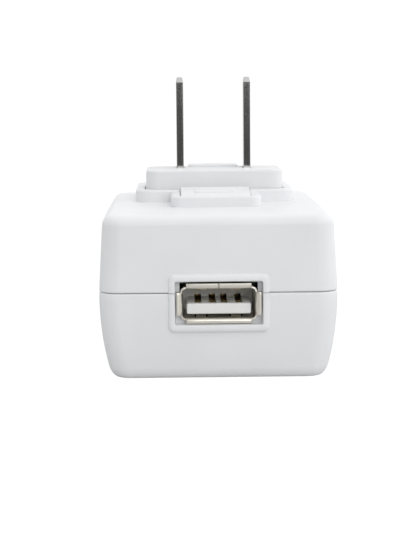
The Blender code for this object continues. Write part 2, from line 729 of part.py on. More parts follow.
def make_usb_shell():
    half_width = PORT_INSIDE[0] / 2 + PORT_SHEET
    half_height = PORT_INSIDE[1] / 2 + PORT_SHEET
    start = from_front(PORT_START)
    end = from_front(PORT_END)
    shell = rounded_cuboid(
        "usb_shell",
        (-half_width, start, PORT_Z - half_height), (half_width, end, PORT_Z + half_height),
        axis=1, radius=PORT_CORNER, steps=3,
    )
    inset = PORT_SHEET
    cut(shell, rounded_cuboid(
        "usb_shell_inside",
        (inset - half_width, start - MM, PORT_Z - half_height + inset),
        (half_width - inset, end + MM, PORT_Z + half_height - inset),
        axis=1, radius=PORT_CORNER - PORT_SHEET, steps=3,
    ))
    half_sheet = 0.45 * PORT_SHEET
    long_flare = half_width - PORT_CORNER - FLARE_NOTCH
    short_flare = half_height - PORT_CORNER - FLARE_NOTCH
    for name, length, angle, edge in (
        ("top", long_flare, 0, half_height), ("right", short_flare, 90, half_width),
        ("bottom", long_flare, 180, half_height), ("left", short_flare, 270, half_width),
    ):
        flare = cuboid(
            f"usb_flare_{name}", (-length, -FLARE_LENGTH, -half_sheet), (length, FLARE_ROOT, half_sheet)
        )
        flare.data.transform(Matrix.Rotation(-math.radians(FLARE_TURN), 4, "X"))
        flare.data.transform(Matrix.Translation((0, start + FLARE_SET_BACK, edge - PORT_SHEET / 2)))
        flare.data.transform(Matrix.Rotation(math.radians(angle), 4, "Y"))
        flare.data.transform(Matrix.Translation((0, 0, PORT_Z)))
        add(shell, flare)
    for side, sign in (("left", -1), ("right", 1)):
        inner = sign * (half_width - 0.85 * PORT_SHEET)
        outer = sign * (half_width - 0.15 * PORT_SHEET)
        add(shell, cuboid(
            f"usb_tab_{side}",
            (min(inner, outer), from_front(TAB_FROM_FRONT) - TAB_WIDTH / 2, PORT_Z),
            (max(inner, outer), from_front(TAB_FROM_FRONT) + TAB_WIDTH / 2, TAB_TOP_Z),
        ))
    return as_part(shell, NICKEL, 0.3, 1.0)


def make_usb_insulator():
    tongue = cuboid(
        "usb_insulator",
        (-TONGUE_WIDTH / 2, from_front(TONGUE_START), TONGUE_TOP_Z - TONGUE_THICKNESS),
        (TONGUE_WIDTH / 2, from_front(BACK_WALL + 2 * MM), TONGUE_TOP_Z),
    )
    side = PORT_INSIDE[0] / 2 - 0.15 * MM
    half_height = PORT_INSIDE[1] / 2 - 0.15 * MM
    add(tongue, rounded_cuboid(
        "usb_back_block",
        (-side, from_front(BACK_WALL), PORT_Z - half_height),
        (side, from_front(PORT_END - 0.3 * MM), PORT_Z + half_height),
        axis=1, radius=PORT_CORNER - PORT_SHEET, steps=3,
    ))
    for index, x in enumerate(CONTACT_X):
        half = CONTACT_WIDTH / 2 + 0.15 * MM
        cut(tongue, cuboid(
            f"usb_groove_{index + 1}",
            (x - half, from_front(GROOVE_START), TONGUE_TOP_Z - GROOVE_DEPTH),
            (x + half, from_front(PORT_END + MM), TONGUE_TOP_Z + 0.3 * MM),
        ))
    return as_part(tongue, NATURAL_WHITE, 0.5)


def make_usb_contact(number, x):
    path = [
        (2.0, 12.75), (2.5, 13.1), (3.1, 13.16), (3.8, 12.95), (5.0, 12.25), (14.4, 12.25),
        (14.75, 12.6), (14.75, 15.9),
    ]
    points = [(from_front(distance * MM), z * MM) for distance, z in path]
    return as_part(strip(f"usb_contact_{number}", points, x, CONTACT_WIDTH, 0.2 * MM), BRASS, 0.25, 1.0)


def make_main_board():
    board = rounded_cuboid(
        "main_board",
        (-BOARD_HALF_WIDTH, from_front(BOARD_SPAN[0]), BOARD_Z[0]),
        (BOARD_HALF_WIDTH, from_front(BOARD_SPAN[1]), BOARD_Z[1]),
        axis=2, radius=1.5 * MM, steps=2,
    )
    tab_x = PORT_INSIDE[0] / 2 + PORT_SHEET / 2
    for side, sign in (("left", -1), ("right", 1)):
        cut(board, cuboid(
            f"tab_slot_{side}",
            (sign * tab_x - 0.5 * MM, from_front(TAB_FROM_FRONT) - TAB_WIDTH / 2 - GAP, BOARD_Z[0] - MM),
            (sign * tab_x + 0.5 * MM, from_front(TAB_FROM_FRONT) + TAB_WIDTH / 2 + GAP, BOARD_Z[1] + MM),
        ))
    return as_part(board, BOARD_GREEN, 0.45)


def make_capacitor(name, x, distance, radius, height):
    """A can under the board: its seal faces the board, with a crimp below it, and two leads go up."""
    top = LEAD_TOP_Z - 0.6 * MM
    base = top - height
    profile = [
        (0, top), (0.86 * radius, top), (radius, top - 0.12 * height * 0.5), (radius, top - 0.12 * height),
        (0.9 * radius, top - 0.17 * height), (radius, top - 0.22 * height), (radius, base + 0.4 * MM),
        (radius - 0.4 * MM, base), (0, base),
    ]
    can = turned(name, profile)
    can.location = (x, from_front(distance), 0)
    for number, sign in ((1, -1), (2, 1)):
        lead_x = x + sign * 0.4 * radius
        add(can, cylinder(
            f"{name}_lead_{number}",
            (lead_x, from_front(distance), top - MM), (lead_x, from_front(distance), LEAD_TOP_Z),
            LEAD_RADIUS, sides=8,
        ))
    return as_part(can, SLEEVE, 0.35)


def make_axial_part(name, x, distance, radius, length, along, colour):
    """A round body lying under the board, with a lead from each end bent up to it."""
    z = LEAD_TOP_Z - 0.6 * MM - radius
    centre = Vector((x, from_front(distance), z))
    direction = Vector((1, 0, 0)) if along == "X" else Vector((0, 1, 0))
    body = cylinder(name, centre - direction * length / 2, centre + direction * length / 2, radius, sides=16)
    reach = length / 2 + 0.9 * MM
    add(body, cylinder(
        f"{name}_lead", centre - direction * reach, centre + direction * reach, LEAD_RADIUS, sides=8
    ))
    for number, sign in ((1, -1), (2, 1)):
        corner = centre + direction * sign * (reach - LEAD_RADIUS)
        add(body, cylinder(
            f"{name}_leg_{number}",
            corner - Vector((0, 0, 0.2 * MM)), Vector((corner.x, corner.y, LEAD_TOP_Z)),
            0.9 * LEAD_RADIUS, sides=8,
        ))
    return as_part(body, colour, 0.4)


def make_chip(name, x, distance, size, leg_count):
    """A moulded package under the board, with its legs along the two sides facing +X and -X."""
    width, length, height = size
    top = LEAD_TOP_Z - 0.3 * MM
    y = from_front(distance)
    body = cuboid(name, (x - width / 2, y - length / 2, top - height), (x + width / 2, y + length / 2, top))
    for sign in (-1, 1):
        for index in range(leg_count):
            leg_y = y + (index - (leg_count - 1) / 2) * 2.54 * MM
            edge = x + sign * width / 2
            low_x, high_x = sorted((edge - sign * 0.4 * MM, edge + sign * 0.7 * MM))
            add(body, cuboid(
                f"{name}_leg_{index}_{sign + 1}",
                (low_x, leg_y - 0.35 * MM, top - 0.6 * height), (high_x, leg_y + 0.35 * MM, LEAD_TOP_Z),
            ))
    return as_part(body, BLACK, 0.45)


def make_transformer():
    middle = 25.5
    core_z = (7.4 * MM, 12.4 * MM)
    plate = 2.5
    window = 5.0
    for name, sign in (("front", -1), ("rear", 1)):
        near = middle + sign * 0.15
        far = middle + sign * (window + plate)
        inner = middle + sign * window
        low, high = sorted((inner, far))
        core = cuboid(
            f"transformer_core_{name}",
            (-8 * MM, from_front(low * MM), core_z[0]), (8 * MM, from_front(high * MM), core_z[1]),
        )
        leg_low, leg_high = sorted((near, inner + sign * 0.5))
        for leg, left, right in (("left", -8.0, -6.0), ("middle", -2.0, 2.0), ("right", 6.0, 8.0)):
            add(core, cuboid(
                f"core_leg_{name}_{leg}",
                (left * MM, from_front(leg_low * MM), core_z[0] + 0.01 * MM),
                (right * MM, from_front(leg_high * MM), core_z[1] - 0.01 * MM),
            ))
        as_part(core, FERRITE, 0.6)
    bobbin = cuboid(
        "transformer_bobbin",
        (-3.1 * MM, from_front(20.8 * MM), 6.4 * MM), (3.1 * MM, from_front(30.2 * MM), 13.4 * MM),
    )
    for name, low in (("front", 20.8), ("rear", 29.4)):
        add(bobbin, rounded_cuboid(
            f"bobbin_flange_{name}",
            (-5.6 * MM, from_front(low * MM), 4.0 * MM), (5.6 * MM, from_front((low + 0.8) * MM), 15.4 * MM),
            axis=1, radius=0.8 * MM, steps=2,
        ))
    for index, x in enumerate((-4.0, 0.0, 4.0)):
        for name, distance in (("front", 21.2), ("rear", 29.8)):
            y = from_front(distance * MM)
            add(bobbin, cylinder(
                f"bobbin_pin_{name}_{index}",
                (x * MM, y, 14.8 * MM), (x * MM, y, LEAD_TOP_Z), LEAD_RADIUS, sides=8,
            ))
    cut(bobbin, cuboid(
        "bobbin_hole",
        (-2.3 * MM, from_front(20 * MM), core_z[0] - GAP), (2.3 * MM, from_front(31 * MM), core_z[1] + GAP),
    ))
    as_part(bobbin, BLACK, 0.5)
    winding = rounded_cuboid(
        "transformer_winding",
        (-5.3 * MM, from_front(21.9 * MM), 4.6 * MM), (5.3 * MM, from_front(29.1 * MM), 15.2 * MM),
        axis=1, radius=1.6 * MM, steps=4,
    )
    cut(winding, cuboid(
        "winding_hole",
        (-3.4 * MM, from_front(20 * MM), 6.1 * MM), (3.4 * MM, from_front(31 * MM), 13.7 * MM),
    ))
    as_part(winding, TAPE_YELLOW, 0.35)


def make_inductor():
    """A ferrite drum that stands under the board on two leads."""
    top = LEAD_TOP_Z - 0.5 * MM
    rim = 3.0 * MM
    waist = 2.5 * MM
    profile = [
        (0, top), (rim, top), (rim, top - 1.2 * MM), (waist, top - 1.6 * MM), (waist, top - 7.4 * MM),
        (rim, top - 7.8 * MM), (rim, top - 9.0 * MM), (0, top - 9.0 * MM),
    ]
    drum = turned("input_inductor", profile)
    y = from_front(40.6 * MM)
    drum.location = (0, y, 0)
    for number, sign in ((1, -1), (2, 1)):
        x = sign * 1.25 * MM
        add(drum, cylinder(
            f"inductor_lead_{number}", (x, y, top - MM), (x, y, LEAD_TOP_Z), LEAD_RADIUS, sides=8
        ))
    return as_part(drum, FERRITE, 0.5)


def make_disc_capacitor():
    x = 12.8 * MM
    y = from_front(32.6 * MM)
    z = 10.6 * MM
    disc = cylinder("safety_capacitor", (x, y - 1.7 * MM, z), (x, y + 1.7 * MM, z), 4.0 * MM, sides=20)
    bevel = disc.modifiers.new("Edge", "BEVEL")
    bevel.width = 0.6 * MM
    bevel.segments = 2
    bevel.limit_method = "ANGLE"
    for number, sign in ((1, -1), (2, 1)):
        lead_x = x + sign * 2.5 * MM
        add(disc, cylinder(
            f"disc_lead_{number}", (lead_x, y, z), (lead_x, y, LEAD_TOP_Z), LEAD_RADIUS, sides=8
        ))
    return as_part(disc, DISC_BLUE, 0.4)


def make_usb_port():
    make_usb_shell()
    make_usb_insulator()
    for number, x in enumerate(CONTACT_X, start=1):
        make_usb_contact(number, x)


def make_electronics():
    make_main_board()
    make_transformer()
    make_capacitor("output_capacitor_large", 12.6 * MM, 12.1 * MM, 4.0 * MM, 11.0 * MM)
    make_capacitor("output_capacitor_small", -12.4 * MM, 11.4 * MM, 3.15 * MM, 10.5 * MM)
    make_capacitor("input_capacitor_left", -9.6 * MM, 41.0 * MM, 4.25 * MM, 12.0 * MM)
    make_capacitor("input_capacitor_right", 9.6 * MM, 41.0 * MM, 4.25 * MM, 12.0 * MM)
    make_inductor()
    make_disc_capacitor()
    make_axial_part("output_diode", -13.0 * MM, 21.5 * MM, 2.5 * MM, 7.6 * MM, "Y", BLACK)
    make_axial_part("fusible_resistor", -9.0 * MM, 47.4 * MM, 1.5 * MM, 6.4 * MM, "X", RESISTOR_BLUE)
    make_axial_part("snubber_resistor", 9.0 * MM, 47.4 * MM, 1.2 * MM, 5.6 * MM, "X", RESISTOR_BLUE)
    make_chip("controller_chip", 12.8 * MM, 23.6 * MM, (5.6 * MM, 9.2 * MM, 3.3 * MM), 4)
    make_chip("optocoupler", -12.8 * MM, 31.4 * MM, (5.6 * MM, 4.6 * MM, 3.4 * MM), 2)
    make_chip("bridge_rectifier", 0.0, 48.6 * MM, (5.0 * MM, 8.0 * MM, 2.6 * MM), 2)


def make_empty(name, location):
    empty = bpy.data.objects.new(name, None)
    empty.empty_display_size = 5 * MM
    empty.location = location
    PARTS.objects.link(empty)
    bpy.context.view_layer.update()
    return empty


def make_plug_head():
    """The head lifts straight off, so its parts share an empty on the lift axis."""
    carriage = make_empty("plug_head_axis", (0, from_front(BLADE_FROM_FRONT), HEAD_BASE_Z[0]))
    make_plug_cover(carriage)
    make_plug_base(carriage)
    for side, sign in (("left", -1), ("right", 1)):
        make_blade(side, sign, carriage)
        make_plug_contact(side, sign, carriage)


def make_button():
    pivot = make_empty("button_pivot", (0, from_front(PIVOT_FROM_FRONT), PIVOT_Z))
    make_release_button(pivot)
    make_button_spring()


clear_scene()
PARTS = make_collection("usb_wall_charger")
TOOLS = make_collection("cutters")
make_lower_housing()
make_upper_housing()
make_usb_port()
make_electronics()
for contact_side, contact_sign in (("left", -1), ("right", 1)):
    make_socket_contact(contact_side, contact_sign)
make_plug_head()
make_button()
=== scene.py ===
"""The looks of the wall charger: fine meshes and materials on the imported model, a camera, a floor and lights.

Sizes are in millimetres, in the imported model's frame: +Y from the port to the rear, +X to the right, +Z up.
object_of() turns them to metres.
"""

import math

import bmesh
import bpy
from mathutils import Matrix, Vector


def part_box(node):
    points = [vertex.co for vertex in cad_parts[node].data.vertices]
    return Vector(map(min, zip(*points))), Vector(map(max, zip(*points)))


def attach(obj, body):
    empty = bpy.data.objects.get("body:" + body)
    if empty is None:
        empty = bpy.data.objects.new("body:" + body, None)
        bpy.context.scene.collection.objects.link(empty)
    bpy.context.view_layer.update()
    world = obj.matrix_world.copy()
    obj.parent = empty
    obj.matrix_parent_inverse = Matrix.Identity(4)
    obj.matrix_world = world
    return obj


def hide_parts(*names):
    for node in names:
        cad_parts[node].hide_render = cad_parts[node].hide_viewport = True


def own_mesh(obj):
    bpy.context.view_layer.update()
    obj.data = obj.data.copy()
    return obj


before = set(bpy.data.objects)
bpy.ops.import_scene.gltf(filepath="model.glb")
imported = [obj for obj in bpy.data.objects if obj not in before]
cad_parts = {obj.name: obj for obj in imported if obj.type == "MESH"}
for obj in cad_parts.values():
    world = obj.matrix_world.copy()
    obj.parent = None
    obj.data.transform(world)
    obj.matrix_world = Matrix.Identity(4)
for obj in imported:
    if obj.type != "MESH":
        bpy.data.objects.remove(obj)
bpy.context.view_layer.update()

MM = 0.001
SIDES = (("left", -1), ("right", 1))


def box_of(node):
    """The lowest and highest corners of a CAD node, in millimetres."""
    low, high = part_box(node)
    return low / MM, high / MM


# The gap that the CAD leaves between parts that touch.
CAD_GAP = 0.3

# The housing. What a CAD node's box gives is read from it. The other sizes are the CAD's, or finer ones.
# A round is its size inwards and its size upwards. The corners' radius loses this share of an inset.
BEZEL_PROUD = 0.5
LOWER_LOW, LOWER_HIGH = box_of("lower_housing")
UPPER_LOW, UPPER_HIGH = box_of("upper_housing")
FRONT = LOWER_LOW.y + BEZEL_PROUD
REAR = LOWER_HIGH.y
LENGTH = REAR - FRONT
HALF_WIDTH = LOWER_HIGH.x
PARTING_Z = UPPER_LOW.z - CAD_GAP / 2
TOP_Z = 28.3
CROWN = 0.3
WALL = 2.0
PLAN_RADIUS = 3.5
PLAN_RADIUS_LOSS = 0.6
PLAN_RADIUS_LEAST = 0.8
TOP_ROUND = (1.7, 1.7)
BASE_ROUND = (0.95, 1.9)
UPPER_DRAFT = 0.055
LOWER_TAPER = 1.98
LOWER_TAPER_POWER = 2.2
END_TAPER_SHARE = 0.6
SEAM = 0.1
SEAM_RADIUS = 0.3
LIP_INSET = 1.2
LIP_HEIGHT = 1.2
LIP_BREAK_HALF_WIDTH = 9.2
LIP_BREAK_START = 0.45
FLOOR_Z = 1.8
CEILING_Z = 26.3
POST_RADIUS = 1.6
POST_X = 14.3
POST_FROM_FRONT = (6.0, 50.5)

# The frame round the port, and the port's opening.
BEZEL_HALF_WIDTH = 8.6
BEZEL_Z = (8.2, 18.15)
BEZEL_BACK = 0.6
BEZEL_CORNER = 1.1
BEZEL_ROUND = (0.8, 0.5)
MOUTH_HALF_WIDTH = 7.5
MOUTH_Z = (9.45, 16.95)
MOUTH_CORNER = 0.35
MOUTH_DEPTH = 1.4
MOUTH_EDGE = 0.15
MOUTH_DRAFT = 0.12
THROAT_HALF_WIDTH = 6.68
THROAT_Z = (10.02, 16.62)
THROAT_CORNER = 1.15
THROAT_TOP_CORNER = 0.2

# The USB-A receptacle.
PORT_Z = 13.05
PORT_INSIDE = (12.5, 5.12)
PORT_SHEET = 0.3
PORT_CORNER = 0.9
PORT_START = 0.55
PORT_END = 14.2
FLARE_HALF_LENGTHS = (5.55, 1.98)
FINGER_X = 3.0
FINGER_WIDTH = 1.7
FINGER_STARTS = (0.95, 2.2)
FINGER_END = 7.6
FINGER_REACHES = (0.5, 0.28)
FINGER_WINDOW_GAP = 0.25
PORT_TAB = (8.0, 10.0)
PORT_SEAM = 0.14

# How each lip of the receptacle turns out: its radius, the degrees it turns, and the straight run after that.
FLARE_BEND = (0.55, 87.0, 0.3)
LOWER_FLARE_BEND = (0.26, 118.0, 0.32)

# The receptacle's tongue and contacts. The path gives (distance behind the front face, height).
TONGUE_WIDTH = 10.98
TONGUE_TOP_Z = 13.04
TONGUE_THICKNESS = 1.84
TONGUE_START = 0.9
TONGUE_CORNER = 0.32
TONGUE_EDGE = 0.26
BACK_WALL = 10.0
GROOVE_DEPTH = 1.1
CONTACT_X = (-3.5, -1.0, 1.0, 3.5)
CONTACT_WIDTH = 1.0
CONTACT_SHEET = 0.2
CONTACT_PATH = (
    (2.0, 12.72), (2.45, 13.0), (3.1, 13.14), (3.8, 12.95), (5.0, 12.2), (14.3, 12.2), (14.75, 12.4),
    (14.75, 15.9),
)

# The collar, the well in it and the button's bulge on its front.
COLLAR_HALF_WIDTH = 14.75
COLLAR_SPAN = (26.0, 49.0)
COLLAR_TOP_Z = UPPER_HIGH.z
COLLAR_RADIUS = 3.2
COLLAR_EDGE = 0.45
WELL_HALF_WIDTH = 13.08
WELL_SPAN = (27.3, 47.5)
WELL_RADIUS = 2.6
WELL_FLOOR_Z = (24.7, 26.3)
WELL_EDGE = 0.22
BULGE_HALF_WIDTH = 8.12
BULGE_START = 15.3
BULGE_TOP_Z = 30.15
BULGE_RADIUS = 1.8
BULGE_WALL = 1.2
BULGE_TUB_Z = (24.0, 25.6)
POCKET_GAP = 0.12
POCKET_CORNER = 0.25
POCKET_EDGE = 0.12
FLOOR_SLOT = (5.0, 8.4)
FLOOR_SLOT_CORNER = 0.4
FLOOR_SLOT_EDGE = 0.15
FLOOR_SLOT_BEHIND_BLADE = 2.85

# The release button.
BUTTON_LOW, BUTTON_HIGH = box_of("release_button")
BUTTON_HALF_WIDTH = 6.33
BUTTON_SPAN = (16.9, 27.1)
BUTTON_NOSE = 0.6
BUTTON_EDGE = 0.22
PIVOT_FROM_FRONT = 18.3
PIVOT_Z = 28.3
PIVOT_RADIUS = 0.8
PAD_HALF_WIDTH = 3.8
PAD_SPAN = (20.0, 24.4)
PAD_CORNER = 0.5
PAD_EDGE = 0.12
PAD_RELIEF = 0.2

# The button's spring.
SPRING_FROM_FRONT = 24.0
SPRING_RADIUS = 1.6
SPRING_WIRE = 0.18
SPRING_TURNS = 4
SPRING_Z = (26.1, 29.1)
SPRING_POCKET_RADIUS = 2.2
SPRING_POCKET_TOP_Z = 29.6

# The plug head. A groove is its length, width and depth.
HEAD_LOW, HEAD_HIGH = box_of("plug_cover")
HEAD_BASE_LOW, HEAD_BASE_HIGH = box_of("plug_base")
HEAD_RADIUS = 2.3
HEAD_FLANGE_TOP_Z = 30.2
HEAD_FLANGE_EDGES = (0.1, 0.3)
HEAD_TOP_Z = 34.1
HEAD_BLOCK_END = 41.0
HEAD_EDGE = 0.45
GRIP_HALF_WIDTH = 4.9
GRIP_SPAN = (38.0, 46.2)
GRIP_CORNER = 1.0
GRIP_EDGE = 0.5
GRIP_GROOVE = (3.9, 1.0, 0.5)
GRIP_GROOVE_FROM_FRONT = 44.4
HEAD_BASE_RAISED = 0.28
CATCH_NOTCH_DEPTH = 0.9
CONTACT_HOLE = (2.2, 2.6)

# The blades, and the sprung strips in the charger that meet their contacts. The tip gives (inset in
# thickness, inset in width, distance under the top), and the path (distance behind the blade, height).
BLADE_LOW, BLADE_HIGH = box_of("blade_right")
BLADE_X = (BLADE_LOW.x + BLADE_HIGH.x) / 2
BLADE_Y = (BLADE_LOW.y + BLADE_HIGH.y) / 2
BLADE_WIDTH = 6.35
BLADE_THICKNESS = 1.4
BLADE_EDGE = 0.2
BLADE_TIP = (
    (0.0, 0.0, 1.0), (0.03, 0.14, 0.85), (0.07, 0.42, 0.6), (0.12, 0.7, 0.3), (0.17, 0.86, 0.1),
    (0.24, 0.94, 0.02), (0.34, 1.0, 0.0),
)
BLADE_FOOT = (3.4, 7.0, 1.0)
BLADE_FOOT_GAP = 0.1
BLADE_SLOT_GAP = 0.05
SOCKET_WIDTH = 3.6
SOCKET_SHEET = 0.35
SOCKET_PATH = (
    (1.45, 17.88), (7.25, 17.88), (7.6, 18.3), (7.35, 22.9), (5.95, 24.3), (4.05, 25.2), (2.45, 25.52),
    (1.05, 25.3), (0.05, 24.6),
)

# The bands on the resistors.
BAND_HALF_WIDTH = 0.22

# The camera's place, its turn to the left, up and anticlockwise in radians, and its lens.
CAMERA_X = -6.13
CAMERA_AHEAD = 250.0
CAMERA_Z = 51.3
CAMERA_TURN = (-0.0186, -0.1269, -0.0075)
CAMERA_LENS = 100.45

# The light of the room: its level low down and overhead, the heights between which it rises, where it gives
# way to the bright walls, and its share on the left and on the right.
ROOM_LEVEL = (0.1, 1.21)
ROOM_RISE = (0.15, 0.75)
WALL_FROM = (-0.8, -0.25)
SIDE_LEVEL = (0.67, 1.12)

# The softbox, and the floor and backdrop round the charger.
SOFTBOX_PLACE = (160.0, -640.0, 220.0)
SOFTBOX_TARGET = (0.0, -20.0, 15.0)
SOFTBOX_SIZE = (420.0, 300.0)
SOFTBOX_POWER = 1.2
STAGE_GLOW = 1.05
FLOOR_RADIUS = 3000.0
BACKDROP_RADIUS = 3500.0
BOUNCE_RADIUS = 230.0
BOUNCE_GREY = 0.57


def from_front(distance):
    """The Y of a point this far behind the front face."""
    return FRONT + distance


# ---------------------------------------------------------------- mesh tools


def object_of(name, mesh_data):
    """A new object that holds the bmesh, in metres."""
    bmesh.ops.recalc_face_normals(mesh_data, faces=mesh_data.faces)
    mesh = bpy.data.meshes.new(name)
    mesh_data.transform(Matrix.Scale(MM, 4))
    mesh_data.to_mesh(mesh)
    mesh_data.free()
    obj = bpy.data.objects.new(name, mesh)
    bpy.context.scene.collection.objects.link(obj)
    return obj


def sheet_through(name, rows, turn=None):
    """An open sheet through rows of points, turned and moved by a matrix if one is given."""
    sheet = bmesh.new()
    rows = [[sheet.verts.new(point) for point in row] for row in rows]
    for first, second in zip(rows, rows[1:]):
        for index in range(len(first) - 1):
            sheet.faces.new((first[index], first[index + 1], second[index + 1], second[index]))
    if turn:
        sheet.transform(turn)
    return object_of(name, sheet)


def thicken(obj, thickness, even_bends=False):
    """Gives an open sheet this thickness, half to each side."""
    modifier = obj.modifiers.new("Sheet", "SOLIDIFY")
    modifier.thickness = thickness * MM
    modifier.offset = 0.0
    modifier.use_even_offset = even_bends


def round_edges(obj, width, segments, least_angle):
    """Rounds the edges that are sharper than this angle in degrees."""
    modifier = obj.modifiers.new("Edges", "BEVEL")
    modifier.width = width * MM
    modifier.segments = segments
    modifier.limit_method = "ANGLE"
    modifier.angle_limit = math.radians(least_angle)
    return modifier


def loft(name, rings):
    """A closed solid through rings of points, with a flat face at each end."""
    solid = bmesh.new()
    rows = [[solid.verts.new(point) for point in ring] for ring in rings]
    count = len(rows[0])
    for first, second in zip(rows, rows[1:]):
        for index in range(count):
            after = (index + 1) % count
            solid.faces.new((first[index], first[after], second[after], second[index]))
    solid.faces.new(rows[0])
    solid.faces.new(rows[-1])
    return object_of(name, solid)


def quarter_turn(steps, first=0):
    """Even angles from 0 to 90 degrees, in radians."""
    return [math.radians(90 * step / steps) for step in range(first, steps + 1)]


def rounded_rectangle(half_u, half_v, radius, steps):
    """The points of a rounded rectangle about the origin, anticlockwise."""
    points = []
    for sign_u, sign_v, start in ((1, 1, 0), (-1, 1, 90), (-1, -1, 180), (1, -1, 270)):
        for step in range(steps + 1):
            angle = math.radians(start + 90 * step / steps)
            points.append((
                sign_u * (half_u - radius) + radius * math.cos(angle),
                sign_v * (half_v - radius) + radius * math.sin(angle),
            ))
    return points


def rounded_block(name, low, high, radius, profile, axis="Z", steps=10):
    """A solid with rounded edges along its axis. low and high are its corners across the axis. The profile
    gives (inset, height) points along it."""
    centre = ((low[0] + high[0]) / 2, (low[1] + high[1]) / 2)
    half = ((high[0] - low[0]) / 2, (high[1] - low[1]) / 2)
    rings = []
    for inset, height in profile:
        ring = rounded_rectangle(half[0] - inset, half[1] - inset, max(radius - inset, 0.02), steps)
        if axis == "Z":
            rings.append([(centre[0] + u, centre[1] + v, height) for u, v in ring])
        else:
            rings.append([(centre[0] + u, height, centre[1] + v) for u, v in ring])
    return loft(name, rings)


def span_block(name, half_width, span, radius, profile, steps=10):
    """A rounded block over the middle of the charger, between these distances behind the front face."""
    low = (-half_width, from_front(span[0]))
    high = (half_width, from_front(span[1]))
    return rounded_block(name, low, high, radius, profile, steps=steps)


def port_block(name, half_width, heights, radius, profile, steps=10):
    """A rounded block that runs from the front to the rear, between these heights."""
    low = (-half_width, heights[0])
    high = (half_width, heights[1])
    return rounded_block(name, low, high, radius, profile, axis="Y", steps=steps)


def block_at(name, x, y, size, radius, profile):
    """A small rounded block about a place in plan."""
    low = (x - size[0] / 2, y - size[1] / 2)
    high = (x + size[0] / 2, y + size[1] / 2)
    return rounded_block(name, low, high, radius, profile, steps=4)


def quarter(start, end, radius, steps=6, inwards=None):
    """The rounded end of a profile that runs from start to end, as (inset, height) points."""
    sign = 1 if end > start else -1
    return [
        ((inwards or radius) * (1 - math.cos(angle)), end - sign * radius * (1 - math.sin(angle)))
        for angle in quarter_turn(steps)
    ]


def rounded_profile(low, high, low_radius, high_radius, steps=6):
    """A profile from low to high, with either edge rounded."""
    first = quarter(high, low, low_radius, steps)[::-1] if low_radius else [(0.0, low)]
    last = quarter(low, high, high_radius, steps) if high_radius else [(0.0, high)]
    return first + last


def flared_profile(deep, edge, radius, beyond, steps=6):
    """A cutter's profile: straight from deep, then spreading so that it rounds the edge it cuts."""
    sign = 1 if edge > deep else -1
    flare = [
        (-radius * (1 - math.cos(angle)), edge - sign * radius * (1 - math.sin(angle)))
        for angle in quarter_turn(steps)
    ]
    return [(0.0, deep)] + flare + [(-radius, beyond)]


def cuboid(name, low, high):
    """A plain block between two corners."""
    box = bmesh.new()
    bmesh.ops.create_cube(box, size=1.0)
    low = Vector(low)
    high = Vector(high)
    bmesh.ops.scale(box, vec=high - low, verts=box.verts)
    bmesh.ops.translate(box, vec=(low + high) / 2, verts=box.verts)
    return object_of(name, box)


def cylinder(name, start, end, radius, sides=32):
    """A cylinder between the centres of its ends."""
    start = Vector(start)
    end = Vector(end)
    solid = bmesh.new()
    bmesh.ops.create_cone(
        solid, cap_ends=True, segments=sides, radius1=radius, radius2=radius, depth=(end - start).length
    )
    turn = Vector((0, 0, 1)).rotation_difference(end - start).to_matrix().to_4x4()
    bmesh.ops.transform(solid, matrix=Matrix.Translation((start + end) / 2) @ turn, verts=solid.verts)
    return object_of(name, solid)


def side_profile(name, outline, half_width, edge_radius):
    """A solid whose outline in the Y-Z plane runs across X, with all its edges rounded."""
    solid = bmesh.new()
    face = solid.faces.new([solid.verts.new((-half_width, y, z)) for y, z in outline])
    grown = bmesh.ops.extrude_face_region(solid, geom=[face])
    moved = [item for item in grown["geom"] if isinstance(item, bmesh.types.BMVert)]
    bmesh.ops.translate(solid, vec=(2 * half_width, 0, 0), verts=moved)
    bmesh.ops.bevel(
        solid, geom=list(solid.edges), offset=edge_radius, segments=4, profile=0.5, affect="EDGES"
    )
    return object_of(name, solid)


def combine(obj, other, operation):
    """Adds a Boolean with the other object, which settle() applies and clears away."""
    modifier = obj.modifiers.new(other.name, "BOOLEAN")
    modifier.object = other
    modifier.operation = operation
    modifier.solver = "EXACT"
    other.hide_render = True


def cut(obj, *others):
    for other in others:
        combine(obj, other, "DIFFERENCE")


def add(obj, *others):
    for other in others:
        combine(obj, other, "UNION")


def settle(obj):
    """Applies the object's modifiers and removes what they used."""
    helpers = [modifier.object for modifier in obj.modifiers if modifier.type == "BOOLEAN"]
    for helper in helpers:
        if helper.modifiers:
            settle(helper)
    bpy.context.view_layer.update()
    graph = bpy.context.evaluated_depsgraph_get()
    mesh = bpy.data.meshes.new_from_object(obj.evaluated_get(graph))
    obj.modifiers.clear()
    old = obj.data
    obj.data = mesh
    bpy.data.meshes.remove(old)
    mesh.name = obj.name
    for helper in helpers:
        bpy.data.objects.remove(helper, do_unlink=True)


def piece(obj, node, material, body, sharp_angle=40.0):
    """Finishes a fine mesh: it stands for a CAD node, rides on its body and takes its finish."""
    settle(obj)
    obj.data.materials.clear()
    obj.data.materials.append(material)
    obj.data.shade_smooth()
    obj.data.set_sharp_from_angle(angle=math.radians(sharp_angle))
    normals = obj.modifiers.new("Normals", "WEIGHTED_NORMAL")
    normals.keep_sharp = True
    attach(obj, body)
    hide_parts(node)
    return obj


# ---------------------------------------------------------------- materials


def shader_of(name, colour, roughness, metallic=0.0):
    """A new material, and its Principled shader."""
    material = bpy.data.materials.new(name)
    material.use_nodes = True
    shader = material.node_tree.nodes["Principled BSDF"]
    shader.inputs["Base Color"].default_value = (*colour, 1.0)
    shader.inputs["Roughness"].default_value = roughness
    shader.inputs["Metallic"].default_value = metallic
    return material, shader


